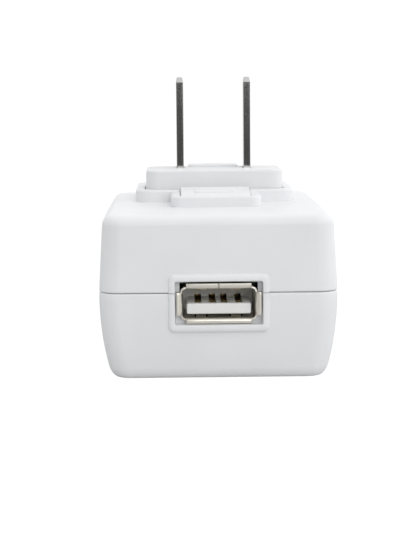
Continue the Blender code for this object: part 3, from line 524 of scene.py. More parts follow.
def noise(tree, scale, stretch=(1, 1, 1)):
    """A noise in the object's own coordinates. scale is in features to a metre."""
    coordinates = tree.nodes.new("ShaderNodeTexCoord")
    mapping = tree.nodes.new("ShaderNodeMapping")
    mapping.inputs["Scale"].default_value = stretch
    texture = tree.nodes.new("ShaderNodeTexNoise")
    texture.inputs["Scale"].default_value = scale
    texture.inputs["Detail"].default_value = 3.0
    tree.links.new(coordinates.outputs["Object"], mapping.inputs["Vector"])
    tree.links.new(mapping.outputs["Vector"], texture.inputs["Vector"])
    return texture.outputs["Fac"]


def spread(tree, factor, low, high, start=0.3, end=0.7):
    """The factor from start to end, mapped to low to high."""
    node = tree.nodes.new("ShaderNodeMapRange")
    node.inputs["From Min"].default_value = start
    node.inputs["From Max"].default_value = end
    node.inputs["To Min"].default_value = low
    node.inputs["To Max"].default_value = high
    tree.links.new(factor, node.inputs["Value"])
    return node.outputs["Result"]


def blend_colours(tree, factor, first, second):
    """From the first colour to the second as the factor goes from 0 to 1."""
    node = tree.nodes.new("ShaderNodeMix")
    node.data_type = "RGBA"
    node.inputs["A"].default_value = (*first, 1.0)
    node.inputs["B"].default_value = (*second, 1.0)
    tree.links.new(factor, node.inputs["Factor"])
    return node.outputs["Result"]


def bump(tree, shader, height, distance):
    """Roughens the surface by this many millimetres."""
    node = tree.nodes.new("ShaderNodeBump")
    node.inputs["Strength"].default_value = 1.0
    node.inputs["Distance"].default_value = distance * MM
    tree.links.new(height, node.inputs["Height"])
    tree.links.new(node.outputs["Normal"], shader.inputs["Normal"])


def textured(name, colours, roughness, grain, grain_depth, metallic=0.0, stretch=(1, 1, 1), cloud=0.12):
    """A finish with a cloudy colour, an uneven gloss and a fine grain. grain and cloud are in features to a
    millimetre."""
    material, shader = shader_of(name, colours[0], roughness[0], metallic)
    tree = material.node_tree
    clouds = noise(tree, cloud / MM)
    tree.links.new(blend_colours(tree, spread(tree, clouds, 0.0, 1.0), *colours), shader.inputs["Base Color"])
    fine = noise(tree, grain / MM, stretch)
    tree.links.new(spread(tree, fine, *roughness), shader.inputs["Roughness"])
    bump(tree, shader, fine, grain_depth)
    return material


HOUSING = textured("housing_white", ((0.80, 0.808, 0.825), (0.825, 0.832, 0.845)), (0.36, 0.48), 5.0, 0.004)
PLUG = textured("plug_white", ((0.80, 0.808, 0.825), (0.825, 0.832, 0.845)), (0.38, 0.50), 6.0, 0.004)
BUTTON = textured("button_white", ((0.81, 0.815, 0.83), (0.835, 0.84, 0.85)), (0.34, 0.44), 7.0, 0.003)
BLADE = textured(
    "blade_steel", ((0.52, 0.52, 0.515), (0.58, 0.575, 0.565)), (0.08, 0.13), 8.0, 0.0002, 1.0, (1, 1, 0.03)
)
NICKEL = textured(
    "port_nickel", ((0.80, 0.765, 0.69), (0.85, 0.82, 0.745)), (0.34, 0.42), 6.0, 0.0001, 1.0, (1, 0.1, 1)
)
BRASS = textured(
    "contact_gold", ((0.80, 0.58, 0.28), (0.86, 0.68, 0.40)), (0.22, 0.34), 8.0, 0.002, 1.0, (1, 0.2, 1)
)
TONGUE = textured("tongue_white", ((0.80, 0.81, 0.80), (0.83, 0.84, 0.83)), (0.42, 0.52), 6.0, 0.003)
SPRING = textured("spring_wire", ((0.55, 0.55, 0.54), (0.62, 0.61, 0.60)), (0.2, 0.32), 12.0, 0.001, 1.0)
BOARD = textured("board_green", ((0.008, 0.05, 0.02), (0.014, 0.075, 0.032)), (0.28, 0.42), 4.0, 0.006)
FERRITE = textured(
    "ferrite_grey", ((0.035, 0.035, 0.04), (0.075, 0.073, 0.075)), (0.5, 0.75), 9.0, 0.02, cloud=0.9
)
TAPE = textured(
    "polyester_tape", ((0.78, 0.58, 0.06), (0.84, 0.66, 0.10)), (0.14, 0.26), 0.9, 0.03, 0.0, (0.1, 1, 0.1)
)
EPOXY = textured("moulded_black", ((0.016, 0.016, 0.018), (0.03, 0.03, 0.032)), (0.42, 0.6), 11.0, 0.012)
SLEEVE = textured("capacitor_sleeve", ((0.012, 0.016, 0.04), (0.02, 0.026, 0.055)), (0.16, 0.3), 1.2, 0.01)
DISC = textured("dipped_blue", ((0.03, 0.12, 0.42), (0.05, 0.17, 0.52)), (0.16, 0.34), 0.8, 0.09, cloud=0.5)


def banded(name, node, colours, band_places):
    """A resistor's lacquer, with colour bands across its length at these shares of its body."""
    material = textured(name, colours, (0.2, 0.36), 1.6, 0.02)
    tree = material.node_tree
    shader = tree.nodes["Principled BSDF"]
    base = shader.inputs["Base Color"].links[0].from_socket
    low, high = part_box(node)
    coordinates = tree.nodes.new("ShaderNodeTexCoord")
    split = tree.nodes.new("ShaderNodeSeparateXYZ")
    tree.links.new(coordinates.outputs["Object"], split.inputs["Vector"])
    for share, colour in band_places:
        near = tree.nodes.new("ShaderNodeMath")
        near.operation = "COMPARE"
        near.inputs[1].default_value = low.x + (high.x - low.x) * share
        near.inputs[2].default_value = BAND_HALF_WIDTH * MM
        tree.links.new(split.outputs["X"], near.inputs[0])
        mix = tree.nodes.new("ShaderNodeMix")
        mix.data_type = "RGBA"
        mix.inputs["B"].default_value = (*colour, 1.0)
        tree.links.new(near.outputs["Value"], mix.inputs["Factor"])
        tree.links.new(base, mix.inputs["A"])
        base = mix.outputs["Result"]
    tree.links.new(base, shader.inputs["Base Color"])
    return material


# ---------------------------------------------------------------- the housing


def shell_insets(z):
    """How far the sides have drawn in at this height: by the taper, and by the rounded top or base."""
    if z >= PARTING_Z:
        taper = UPPER_DRAFT * (z - PARTING_Z)
        inwards, upwards = TOP_ROUND
        into = z - (TOP_Z - upwards)
    else:
        taper = LOWER_TAPER * ((PARTING_Z - z) / PARTING_Z) ** LOWER_TAPER_POWER
        inwards, upwards = BASE_ROUND
        into = upwards - z
    share = min(max(into, 0.0) / upwards, 1.0)
    return taper, inwards * (1 - math.sqrt(1 - share ** 2))


def crowned(y, z):
    """The height of a point of the upper shell once the top is crowned along Y."""
    middle = (FRONT + REAR) / 2
    drop = CROWN * ((y - middle) / (LENGTH / 2)) ** 2
    return z - drop * max(z - PARTING_Z, 0.0) / (TOP_Z - PARTING_Z)


def half_outline(half_width, front, rear, radius, arc_steps, side_steps):
    """The right half of a rounded rectangle, front to rear."""
    points = []
    middle = half_width - radius
    angles = quarter_turn(arc_steps)
    for angle in angles:
        points.append((middle + radius * math.sin(angle), front + radius - radius * math.cos(angle)))
    for step in range(1, side_steps):
        points.append((half_width, front + radius + (rear - front - 2 * radius) * step / side_steps))
    for angle in angles:
        points.append((middle + radius * math.cos(angle), rear - radius + radius * math.sin(angle)))
    return points


def shell_loft(name, levels, thickness, arc_steps=16, side_steps=14):
    """The solid inside the shells' outer surface, through (extra inset, height) levels."""
    solid = bmesh.new()
    rings = []
    for extra, z in levels:
        taper, rounding = shell_insets(z)
        half_width = HALF_WIDTH - thickness - taper - rounding - extra
        end = thickness + taper * END_TAPER_SHARE + rounding + extra
        ends = (from_front(end), from_front(LENGTH - end))
        radius = max(PLAN_RADIUS - PLAN_RADIUS_LOSS * thickness - rounding - extra, PLAN_RADIUS_LEAST)
        half = half_outline(half_width, *ends, radius, arc_steps, side_steps)
        right = [solid.verts.new((x, y, crowned(y, z))) for x, y in half]
        left = [solid.verts.new((-x, y, crowned(y, z))) for x, y in half]
        rings.append((right, left))
    last = len(rings[0][0]) - 1
    for lower, upper in zip(rings, rings[1:]):
        for side in (0, 1):
            for index in range(last):
                solid.faces.new((
                    lower[side][index], lower[side][index + 1], upper[side][index + 1], upper[side][index]
                ))
        for index in (0, last):
            solid.faces.new((lower[0][index], lower[1][index], upper[1][index], upper[0][index]))
    for right, left in (rings[0], rings[-1]):
        for index in range(last):
            solid.faces.new((right[index], right[index + 1], left[index + 1], left[index]))
    return object_of(name, solid)


def seam_round(z, sign, steps=4):
    """(extra inset, height) levels of the small round along the seam, from the seam outwards."""
    return [
        (SEAM_RADIUS * (1 - math.sin(angle)), z + sign * SEAM_RADIUS * (1 - math.cos(angle)))
        for angle in quarter_turn(steps)
    ]


def shell_lip(name, inset, low, high):
    """The block inside the lip that joins the shells, this far in from their sides."""
    return span_block(
        name, HALF_WIDTH - inset, (inset, LENGTH - inset), PLAN_RADIUS - PLAN_RADIUS_LOSS * inset,
        [(0.0, low), (0.0, high)],
    )


def bezel_half(name, low, high):
    """The part of the raised frame between these heights."""
    back = from_front(BEZEL_BACK)
    inwards, forwards = BEZEL_ROUND
    profile = [(0.0, back)] + quarter(back, from_front(-BEZEL_PROUD), forwards, 10, inwards)
    frame_block = port_block(name + "_frame", BEZEL_HALF_WIDTH, BEZEL_Z, BEZEL_CORNER, profile)
    keep = cuboid(name, (-12.0, from_front(-2.0), low), (12.0, from_front(2.0), high))
    combine(keep, frame_block, "INTERSECT")
    return keep


def port_cutters(name):
    """Cutters for the mouth, for the throat behind it, and for the throat's squarer upper corners."""
    mouth_back = from_front(MOUTH_DEPTH)
    mouth_front = from_front(-BEZEL_PROUD)
    mouth_profile = flared_profile(mouth_back, mouth_front, MOUTH_EDGE, mouth_front - 1.0)
    mouth_profile[0] = (MOUTH_DRAFT, mouth_back)
    mouth = port_block(name + "_mouth", MOUTH_HALF_WIDTH, MOUTH_Z, MOUTH_CORNER, mouth_profile)
    through = [(0.0, from_front(0.2)), (0.0, from_front(WALL + 1.5))]
    throat = port_block(name + "_throat", THROAT_HALF_WIDTH, THROAT_Z, THROAT_CORNER, through, steps=6)
    square_top = port_block(
        name + "_throat_top", THROAT_HALF_WIDTH, (PORT_Z, THROAT_Z[1]), THROAT_TOP_CORNER, through, steps=3
    )
    return mouth, throat, square_top


def lip_break(name, low, high):
    """A block over the port, within the front wall: the lip stops there."""
    return cuboid(
        name, (-LIP_BREAK_HALF_WIDTH, from_front(LIP_BREAK_START), low),
        (LIP_BREAK_HALF_WIDTH, from_front(WALL), high),
    )


def posts(name, low, high):
    """The four posts that hold the board at its corners."""
    return [
        cylinder(
            f"{name}_{side}_{row}", (sign * POST_X, from_front(distance), low),
            (sign * POST_X, from_front(distance), high), POST_RADIUS,
        )
        for side, sign in SIDES
        for row, distance in zip(("front", "rear"), POST_FROM_FRONT)
    ]


def even(low, high, count):
    """Levels at even heights, without the first."""
    return [(0.0, low + (high - low) * step / count) for step in range(1, count + 1)]


def make_lower_shell():
    top = PARTING_Z - SEAM / 2
    base = [(0.0, BASE_ROUND[1] * (1 - math.cos(angle))) for angle in quarter_turn(12)]
    seam = seam_round(top, -1)[::-1]
    levels = base + even(BASE_ROUND[1], seam[0][1], 10)[:-1] + seam
    shell = shell_loft("lower_shell", levels, 0.0)
    add(shell, shell_lip("lower_lip", LIP_INSET, PARTING_Z - 2.0, PARTING_Z + LIP_HEIGHT))
    cavity = [(0.0, z) for z in (FLOOR_Z, 0.4 * PARTING_Z, 0.7 * PARTING_Z, PARTING_Z, PARTING_Z + 3.0)]
    cut(shell, shell_loft("lower_cavity", cavity, WALL, 8, 1))
    cut(shell, lip_break("lower_lip_break", top, PARTING_Z + 2 * LIP_HEIGHT))
    add(shell, bezel_half("lower_bezel", BEZEL_Z[0] - 1.0, top))
    add(shell, *posts("lower_post", FLOOR_Z - 0.5, box_of("main_board")[0].z - CAD_GAP))
    cut(shell, *port_cutters("lower_port"))
    piece(shell, "lower_housing", HOUSING, "charger_body")


def make_upper_shell():
    bottom = PARTING_Z + SEAM / 2
    seam = seam_round(bottom, 1)
    shoulder = TOP_Z - TOP_ROUND[1]
    top = [(0.0, shoulder + TOP_ROUND[1] * math.sin(angle)) for angle in quarter_turn(14, first=1)]
    levels = seam + even(seam[-1][1], shoulder, 6) + top
    shell = shell_loft("upper_shell", levels, 0.0)
    cavity = [(0.0, z) for z in (PARTING_Z - 2.0, 20.0, CEILING_Z)]
    cut(shell, shell_loft("upper_cavity", cavity, WALL, 8, 1))
    relief_top = PARTING_Z + LIP_HEIGHT + CAD_GAP
    cut(shell, shell_lip("lip_relief", LIP_INSET - CAD_GAP, PARTING_Z - 2.0, relief_top))
    add(shell, lip_break("upper_lip_fill", bottom, relief_top + 1.0))
    add(shell, span_block(
        "collar", COLLAR_HALF_WIDTH, COLLAR_SPAN, COLLAR_RADIUS,
        rounded_profile(WELL_FLOOR_Z[0], COLLAR_TOP_Z, 0.0, COLLAR_EDGE),
    ))
    add(shell, span_block(
        "bulge", BULGE_HALF_WIDTH, (BULGE_START, COLLAR_SPAN[0] + 0.8), BULGE_RADIUS,
        rounded_profile(BULGE_TUB_Z[0], BULGE_TOP_Z, 0.0, COLLAR_EDGE),
    ))
    add(shell, bezel_half("upper_bezel", bottom, BEZEL_Z[1] + 1.0))
    add(shell, *posts("upper_post", box_of("main_board")[1].z + CAD_GAP, CEILING_Z + 0.5))
    cut(shell, span_block(
        "well", WELL_HALF_WIDTH, WELL_SPAN, WELL_RADIUS,
        flared_profile(WELL_FLOOR_Z[1], COLLAR_TOP_Z, WELL_EDGE, COLLAR_TOP_Z + 2.0),
    ))
    cut(shell, span_block(
        "button_pocket", BUTTON_HALF_WIDTH + POCKET_GAP, (BULGE_START + BULGE_WALL, WELL_SPAN[0] + 1.0),
        POCKET_CORNER, flared_profile(BULGE_TUB_Z[1], BULGE_TOP_Z, POCKET_EDGE, COLLAR_TOP_Z + 3.0),
        steps=4,
    ))
    pin_end = Vector((BUTTON_HIGH.x + CAD_GAP, 0, 0))
    pivot = Vector((0, from_front(PIVOT_FROM_FRONT), PIVOT_Z))
    cut(shell, cylinder("pin_sockets", pivot - pin_end, pivot + pin_end, PIVOT_RADIUS + 0.2))
    slot_y = BLADE_Y + FLOOR_SLOT_BEHIND_BLADE
    for side, sign in SIDES:
        cut(shell, block_at(
            f"floor_slot_{side}", sign * BLADE_X, slot_y, FLOOR_SLOT, FLOOR_SLOT_CORNER,
            flared_profile(WELL_FLOOR_Z[0] - 1.0, WELL_FLOOR_Z[1], FLOOR_SLOT_EDGE, WELL_FLOOR_Z[1] + 1.0),
        ))
    cut(shell, *port_cutters("upper_port"))
    piece(shell, "upper_housing", HOUSING, "charger_body")


# ---------------------------------------------------------------- the button and the plug head


def button_top(distance):
    """The height of the button's sloped top this far behind the front face."""
    run = BUTTON_SPAN[1] - BUTTON_NOSE - BUTTON_SPAN[0]
    return BULGE_TOP_Z + (BUTTON_HIGH.z - BULGE_TOP_Z) * (distance - BUTTON_SPAN[0]) / run


def make_button():
    """The button: a sloped block with a thumb pad, stub pins and a pocket for its spring."""
    front, rear = BUTTON_SPAN
    outline = [
        (from_front(front), BUTTON_LOW.z),
        (from_front(front), BULGE_TOP_Z),
        (from_front(rear - BUTTON_NOSE), BUTTON_HIGH.z),
        (from_front(rear), BUTTON_HIGH.z - BUTTON_NOSE),
        (from_front(rear), BUTTON_LOW.z),
    ]
    button = side_profile("button", outline, BUTTON_HALF_WIDTH, BUTTON_EDGE)
    slope = math.atan2(button_top(PAD_SPAN[1]) - button_top(PAD_SPAN[0]), PAD_SPAN[1] - PAD_SPAN[0])
    middle = (PAD_SPAN[0] + PAD_SPAN[1]) / 2
    half_length = (PAD_SPAN[1] - PAD_SPAN[0]) / 2
    pad = rounded_block(
        "thumb_pad", (-PAD_HALF_WIDTH, -half_length), (PAD_HALF_WIDTH, half_length), PAD_CORNER,
        rounded_profile(-0.6, PAD_RELIEF, 0.0, PAD_EDGE, 4),
    )
    pad_place = Vector((0, from_front(middle), button_top(middle))) * MM
    pad.data.transform(Matrix.Translation(pad_place) @ Matrix.Rotation(slope, 4, "X"))
    pin_y = from_front(PIVOT_FROM_FRONT)
    add(button, pad, cylinder(
        "pivot_pins", (BUTTON_LOW.x, pin_y, PIVOT_Z), (BUTTON_HIGH.x, pin_y, PIVOT_Z), PIVOT_RADIUS
    ))
    spring_y = from_front(SPRING_FROM_FRONT)
    cut(button, cylinder(
        "spring_pocket", (0, spring_y, BUTTON_LOW.z - 1.0), (0, spring_y, SPRING_POCKET_TOP_Z),
        SPRING_POCKET_RADIUS,
    ))
    piece(button, "release_button", BUTTON, "release_button", 30.0)


def make_button_spring():
    """The coil spring under the button, closer wound at its ends."""
    per_turn = 32
    sides = 10
    up = Vector((0, 0, 1))
    count = SPRING_TURNS * per_turn
    low, high = SPRING_Z
    middle = Vector((0, from_front(SPRING_FROM_FRONT), 0))
    rings = []
    for index in range(count + 1):
        angle = 2 * math.pi * index / per_turn
        share = index / count
        rise = share - 0.6 * math.sin(2 * math.pi * share) / (2 * math.pi)
        outward = Vector((math.cos(angle), math.sin(angle), 0))
        centre = middle + SPRING_RADIUS * outward + (low + (high - low) * rise) * up
        turns = [2 * math.pi * side / sides for side in range(sides)]
        rings.append([
            centre + SPRING_WIRE * (math.cos(turn) * outward + math.sin(turn) * up) for turn in turns
        ])
    coil = loft("return_spring", rings)
    spring = piece(coil, "button_spring", SPRING, "charger_body", 60.0)
    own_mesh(spring)


def make_head_cover():
    """The plug head's cover: a flange, a raised block, a grooved grip, and room for the blades."""
    front_corner = (HEAD_LOW.x, HEAD_LOW.y)
    cover = rounded_block(
        "head_cover", front_corner, (HEAD_HIGH.x, HEAD_HIGH.y), HEAD_RADIUS,
        rounded_profile(HEAD_LOW.z, HEAD_FLANGE_TOP_Z, *HEAD_FLANGE_EDGES),
    )
    add(cover, rounded_block(
        "head_block", front_corner, (HEAD_HIGH.x, from_front(HEAD_BLOCK_END)), HEAD_RADIUS,
        rounded_profile(HEAD_LOW.z + 0.2, HEAD_TOP_Z, 0.0, HEAD_EDGE, 10), steps=16,
    ))
    add(cover, span_block(
        "grip", GRIP_HALF_WIDTH, GRIP_SPAN, GRIP_CORNER,
        rounded_profile(HEAD_LOW.z + 0.5, HEAD_HIGH.z, 0.0, GRIP_EDGE, 8),
    ))
    length, width, depth = GRIP_GROOVE
    cut(cover, block_at(
        "grip_groove", 0.0, from_front(GRIP_GROOVE_FROM_FRONT), (length, width), 0.2,
        flared_profile(HEAD_HIGH.z - depth, HEAD_HIGH.z, 0.08, HEAD_HIGH.z + 1.0),
    ))
    foot = Vector((BLADE_FOOT[0] / 2 + BLADE_FOOT_GAP, BLADE_FOOT[1] / 2 + BLADE_FOOT_GAP, 0))
    foot_top = BLADE_LOW.z + BLADE_FOOT[2] + BLADE_FOOT_GAP
    slot = (BLADE_THICKNESS + 2 * BLADE_SLOT_GAP, BLADE_WIDTH + 2 * BLADE_SLOT_GAP)
    for side, sign in SIDES:
        centre = Vector((sign * BLADE_X, BLADE_Y, 0))
        cut(cover, cuboid(
            f"foot_pocket_{side}", centre - foot + Vector((0, 0, HEAD_LOW.z - 1.0)),
            centre + foot + Vector((0, 0, foot_top)),
        ))
        cut(cover, block_at(
            f"blade_slot_{side}", centre.x, centre.y, slot, 0.15,
            flared_profile(HEAD_LOW.z, HEAD_TOP_Z, 0.12, HEAD_HIGH.z + 1.0),
        ))
    piece(cover, "plug_cover", PLUG, "plug_head")


def make_head_base():
    """The plug head's base plate, raised nearly to the cover, with its catch notch and contact holes."""
    base = rounded_block(
        "head_base", (HEAD_BASE_LOW.x, HEAD_BASE_LOW.y), (HEAD_BASE_HIGH.x, HEAD_BASE_HIGH.y), HEAD_RADIUS,
        rounded_profile(HEAD_BASE_LOW.z, HEAD_BASE_HIGH.z + HEAD_BASE_RAISED, 0.3, 0.05),
    )
    notch = BUTTON_HALF_WIDTH / 2
    cut(base, rounded_block(
        "catch_notch", (-notch, HEAD_BASE_LOW.y - 1.0), (notch, HEAD_BASE_LOW.y + CATCH_NOTCH_DEPTH), 0.15,
        [(0.0, HEAD_BASE_LOW.z + 0.6), (0.0, HEAD_BASE_HIGH.z + 1.0)], steps=4,
    ))
    half_hole = Vector((CONTACT_HOLE[0] / 2, CONTACT_HOLE[1] / 2))
    for side, sign in SIDES:
        low, high = box_of(f"plug_contact_{side}")
        middle = (low + high) / 2
        cut(base, cuboid(
            f"contact_hole_{side}", (middle.x - half_hole.x, middle.y - half_hole.y, HEAD_BASE_LOW.z - 1.0),
            (middle.x + half_hole.x, middle.y + half_hole.y, HEAD_BASE_HIGH.z + 1.0),
        ))
    piece(base, "plug_base", PLUG, "plug_head")


def make_blade(side, sign):
    """A blade with rounded long edges, a short chamfer round its tip, and a foot."""
    x = sign * BLADE_X
    levels = [(0.0, 0.0, BLADE_LOW.z + 0.5)]
    levels += [(thinner, narrower, BLADE_HIGH.z - under) for thinner, narrower, under in BLADE_TIP]
    rings = []
    for thinner, narrower, z in levels:
        ring = rounded_rectangle(BLADE_THICKNESS / 2 - thinner, BLADE_WIDTH / 2 - narrower, BLADE_EDGE, 5)
        rings.append([(x + u, BLADE_Y + v, z) for u, v in ring])
    blade = loft(f"blade_fine_{side}", rings)
    add(blade, block_at(
        f"blade_foot_{side}", x, BLADE_Y, BLADE_FOOT, 0.3,
        rounded_profile(BLADE_LOW.z, BLADE_LOW.z + BLADE_FOOT[2], 0.1, 0.1, 3),
    ))
    piece(blade, f"blade_{side}", BLADE, "plug_head", 30.0)


# ---------------------------------------------------------------- the port


def flare_section(radius, degrees, straight, steps=8):
    """(forward, outward) points of the sheet's middle line: it bends outwards, then runs straight."""
    bend = math.radians(degrees)
    points = []
    for step in range(steps + 1):
        angle = bend * step / steps
        points.append((radius * math.sin(angle), radius * (1 - math.cos(angle))))
    forward, outward = points[-1]
    points.append((forward + straight * math.cos(bend), outward + straight * math.sin(bend)))
    return points


def make_flare(name, half_length, edge, turn, bend):
    """One of the four lips: a strip of sheet that turns outwards, this far from the port's middle."""
    across = 6
    rows = [
        [(half_length * (2 * step / across - 1), -forward, outward) for step in range(across + 1)]
        for forward, outward in [(-0.5, 0.0)] + flare_section(*bend)
    ]
    lip = sheet_through(name, rows, (
        Matrix.Translation((0, 0, PORT_Z))
        @ Matrix.Rotation(math.radians(turn), 4, "Y")
        @ Matrix.Translation((0, from_front(PORT_START), edge - PORT_SHEET / 2))
    ))
    thicken(lip, 0.92 * PORT_SHEET, even_bends=True)
    round_edges(lip, 0.25 * PORT_SHEET, 3, 50)
    return lip


def make_finger(name, x, sign, start, reach):
    """A spring finger pressed in from the shell's top or bottom wall."""
    half_height = PORT_INSIDE[1] / 2 + PORT_SHEET / 2
    length = FINGER_END - start
    steps = 16
    rows = []
    for step in range(steps + 1):
        share = step / steps
        dip = reach * math.sin(math.pi * share ** 0.5) ** 1.5
        y = from_front(start + length * share)
        z = PORT_Z + sign * (half_height - dip)
        rows.append([(x + side * FINGER_WIDTH / 2, y, z) for side in (-1, 1)])
    finger = sheet_through(name, rows)
    thicken(finger, 0.8 * PORT_SHEET)
    return finger


def make_port_shell():
    """The sheet shell, with its four lips, four spring fingers, the seam on top and a tab at each side."""
    half_width = PORT_INSIDE[0] / 2 + PORT_SHEET
    half_height = PORT_INSIDE[1] / 2 + PORT_SHEET
    start = from_front(PORT_START)
    end = from_front(PORT_END)
    shell = port_block(
        "port_shell", half_width, (PORT_Z - half_height, PORT_Z + half_height), PORT_CORNER,
        rounded_profile(start, end, 0.08, 0.05, 3),
    )
    cut(shell, port_block(
        "port_inside", half_width - PORT_SHEET,
        (PORT_Z - half_height + PORT_SHEET, PORT_Z + half_height - PORT_SHEET), PORT_CORNER - PORT_SHEET,
        [(0.0, start - 1.0), (0.0, end + 1.0)],
    ))
    long_reach, short_reach = FLARE_HALF_LENGTHS
    for name, reach, edge, turn in (
        ("top", long_reach, half_height, 0), ("right", short_reach, half_width, 90),
        ("bottom", long_reach, half_height, 180), ("left", short_reach, half_width, 270),
    ):
        bend = LOWER_FLARE_BEND if name == "bottom" else FLARE_BEND
        add(shell, make_flare(f"flare_{name}", reach, edge, turn, bend))
    for row, sign, finger_start, reach in zip(("top", "bottom"), (1, -1), FINGER_STARTS, FINGER_REACHES):
        wall = PORT_Z + sign * half_height
        window = FINGER_WIDTH / 2 + FINGER_WINDOW_GAP
        for side, x in (("left", -FINGER_X), ("right", FINGER_X)):
            cut(shell, cuboid(
                f"finger_window_{row}_{side}", (x - window, from_front(finger_start + 0.3), wall - 0.5),
                (x + window, from_front(FINGER_END + 0.4), wall + 0.5),
            ))
            add(shell, make_finger(f"finger_{row}_{side}", x, sign, finger_start, reach))
    cut(shell, cuboid(
        "port_seam", (-PORT_SEAM / 2, start - 2.0, PORT_Z + half_height - 0.6),
        (PORT_SEAM / 2, end + 1.0, PORT_Z + half_height + 2.0),
    ))
    tab_top = box_of("usb_shell")[1].z
    tab_start, tab_end = (from_front(distance) for distance in PORT_TAB)
    for side, sign in SIDES:
        near, far = sorted(sign * (half_width - share * PORT_SHEET) for share in (0.85, 0.15))
        add(shell, cuboid(f"port_tab_{side}", (near, tab_start, PORT_Z), (far, tab_end, tab_top)))
    piece(shell, "usb_shell", NICKEL, "charger_body", 30.0)


def make_tongue():
    """The white tongue and the wall behind it, with a groove for each contact."""
    profile = rounded_profile(from_front(TONGUE_START), from_front(BACK_WALL + 2.0), TONGUE_EDGE, 0.0)
    tongue = port_block(
        "port_tongue", TONGUE_WIDTH / 2, (TONGUE_TOP_Z - TONGUE_THICKNESS, TONGUE_TOP_Z), TONGUE_CORNER,
        profile, steps=6,
    )
    half_height = PORT_INSIDE[1] / 2 - 0.1
    add(tongue, port_block(
        "port_back", PORT_INSIDE[0] / 2 - 0.1, (PORT_Z - half_height, PORT_Z + half_height),
        PORT_CORNER - PORT_SHEET, [(0.0, from_front(BACK_WALL)), (0.0, from_front(PORT_END - 0.3))], steps=6,
    ))
    reach = CONTACT_WIDTH / 2 + 0.08
    groove_start = from_front(TONGUE_START + 0.9)
    for number, x in enumerate(CONTACT_X, start=1):
        cut(tongue, cuboid(
            f"contact_groove_{number}", (x - reach, groove_start, TONGUE_TOP_Z - GROOVE_DEPTH),
            (x + reach, from_front(PORT_END + 1.0), TONGUE_TOP_Z + 0.35),
        ))
    piece(tongue, "usb_insulator", TONGUE, "charger_body", 30.0)


def strip(name, path, centre_x, width, thickness, round_steps):
    """A bent strip along a path in the Y-Z plane, with its bends smoothed."""
    points = [Vector((0, y, z)) for y, z in path]
    for _ in range(round_steps):
        finer = [points[0]]
        for first, second in zip(points, points[1:]):
            finer += [first.lerp(second, 0.25), first.lerp(second, 0.75)]
        points = finer + [points[-1]]
    half = width / 2
    rows = [[(x, point.y, point.z) for x in (centre_x - half, centre_x + half)] for point in points]
    obj = sheet_through(name, rows)
    thicken(obj, thickness)
    round_edges(obj, 0.2 * thickness, 2, 50)
    return obj


def make_port_contact(number, x):
    points = [(from_front(distance), z) for distance, z in CONTACT_PATH]
    contact = strip(f"port_contact_{number}", points, x, CONTACT_WIDTH, CONTACT_SHEET, 3)
    piece(contact, f"usb_contact_{number}", BRASS, "charger_body", 30.0)


def make_socket_contact(side, sign):
    points = [(BLADE_Y + behind, z) for behind, z in SOCKET_PATH]
    contact = strip(f"socket_spring_{side}", points, sign * BLADE_X, SOCKET_WIDTH, SOCKET_SHEET, 2)
    piece(contact, f"socket_contact_{side}", BRASS, "charger_body", 30.0)


# ---------------------------------------------------------------- the parts that stay as the CAD has them


def dress(node, material, edge):
    """Gives a CAD node its finish, and rounds its edges a little."""
    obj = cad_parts[node]
    obj.data.materials.clear()
    obj.data.materials.append(material)
    weld = obj.modifiers.new("Weld", "WELD")
    weld.merge_threshold = 0.001 * MM
    bevel = round_edges(obj, edge, 3, 40)
    bevel.use_clamp_overlap = True
    bevel.harden_normals = True


def dress_electronics():
    """The board, what hangs under it, and the contacts in the plug head."""
    red = (0.5, 0.03, 0.02)
    brown = (0.14, 0.05, 0.02)
    gold = (0.55, 0.36, 0.08)
    black = (0.01, 0.01, 0.01)
    lacquer = ((0.10, 0.32, 0.52), (0.14, 0.38, 0.58))
    fusible_bands = ((0.28, red), (0.42, black), (0.56, gold))
    snubber_bands = ((0.28, brown), (0.42, black), (0.6, red))
    fusible = banded("fusible_lacquer", "fusible_resistor", lacquer, fusible_bands)
    snubber = banded("snubber_lacquer", "snubber_resistor", lacquer, snubber_bands)
    for material, edge, nodes in (
        (BRASS, 0.05, ("plug_contact_left", "plug_contact_right")),
        (BOARD, 0.08, ("main_board",)),
        (FERRITE, 0.15, ("transformer_core_front", "transformer_core_rear", "input_inductor")),
        (TAPE, 0.08, ("transformer_winding",)),
        (EPOXY, 0.1, (
            "transformer_bobbin", "output_diode", "controller_chip", "optocoupler", "bridge_rectifier",
        )),
        (SLEEVE, 0.12, (
            "output_capacitor_large", "output_capacitor_small",
            "input_capacitor_left", "input_capacitor_right",
        )),
        (DISC, 0.1, ("safety_capacitor",)),
        (fusible, 0.1, ("fusible_resistor",)),
        (snubber, 0.1, ("snubber_resistor",)),
    ):
        for node in nodes:
            dress(node, material, edge)


# ---------------------------------------------------------------- camera, floor and lights


def make_camera():
    """In front of the port and above it, turned a little to the right and looking slightly down."""
    data = bpy.data.cameras.new("camera")
    data.sensor_width = 36.0
    data.lens = CAMERA_LENS
    data.clip_start = 0.01
    data.clip_end = 10.0
    camera = bpy.data.objects.new("camera", data)
    camera.location = Vector((CAMERA_X, from_front(-CAMERA_AHEAD), CAMERA_Z)) * MM
    left, up, roll = CAMERA_TURN
    turn = Matrix.Rotation(left, 3, "Z") @ Matrix.Rotation(math.pi / 2 + up, 3, "X")
    turn = turn @ Matrix.Rotation(roll, 3, "Z")
    camera.rotation_mode = "QUATERNION"
    camera.rotation_quaternion = turn.to_quaternion()
    bpy.context.scene.collection.objects.link(camera)
    bpy.context.scene.camera = camera


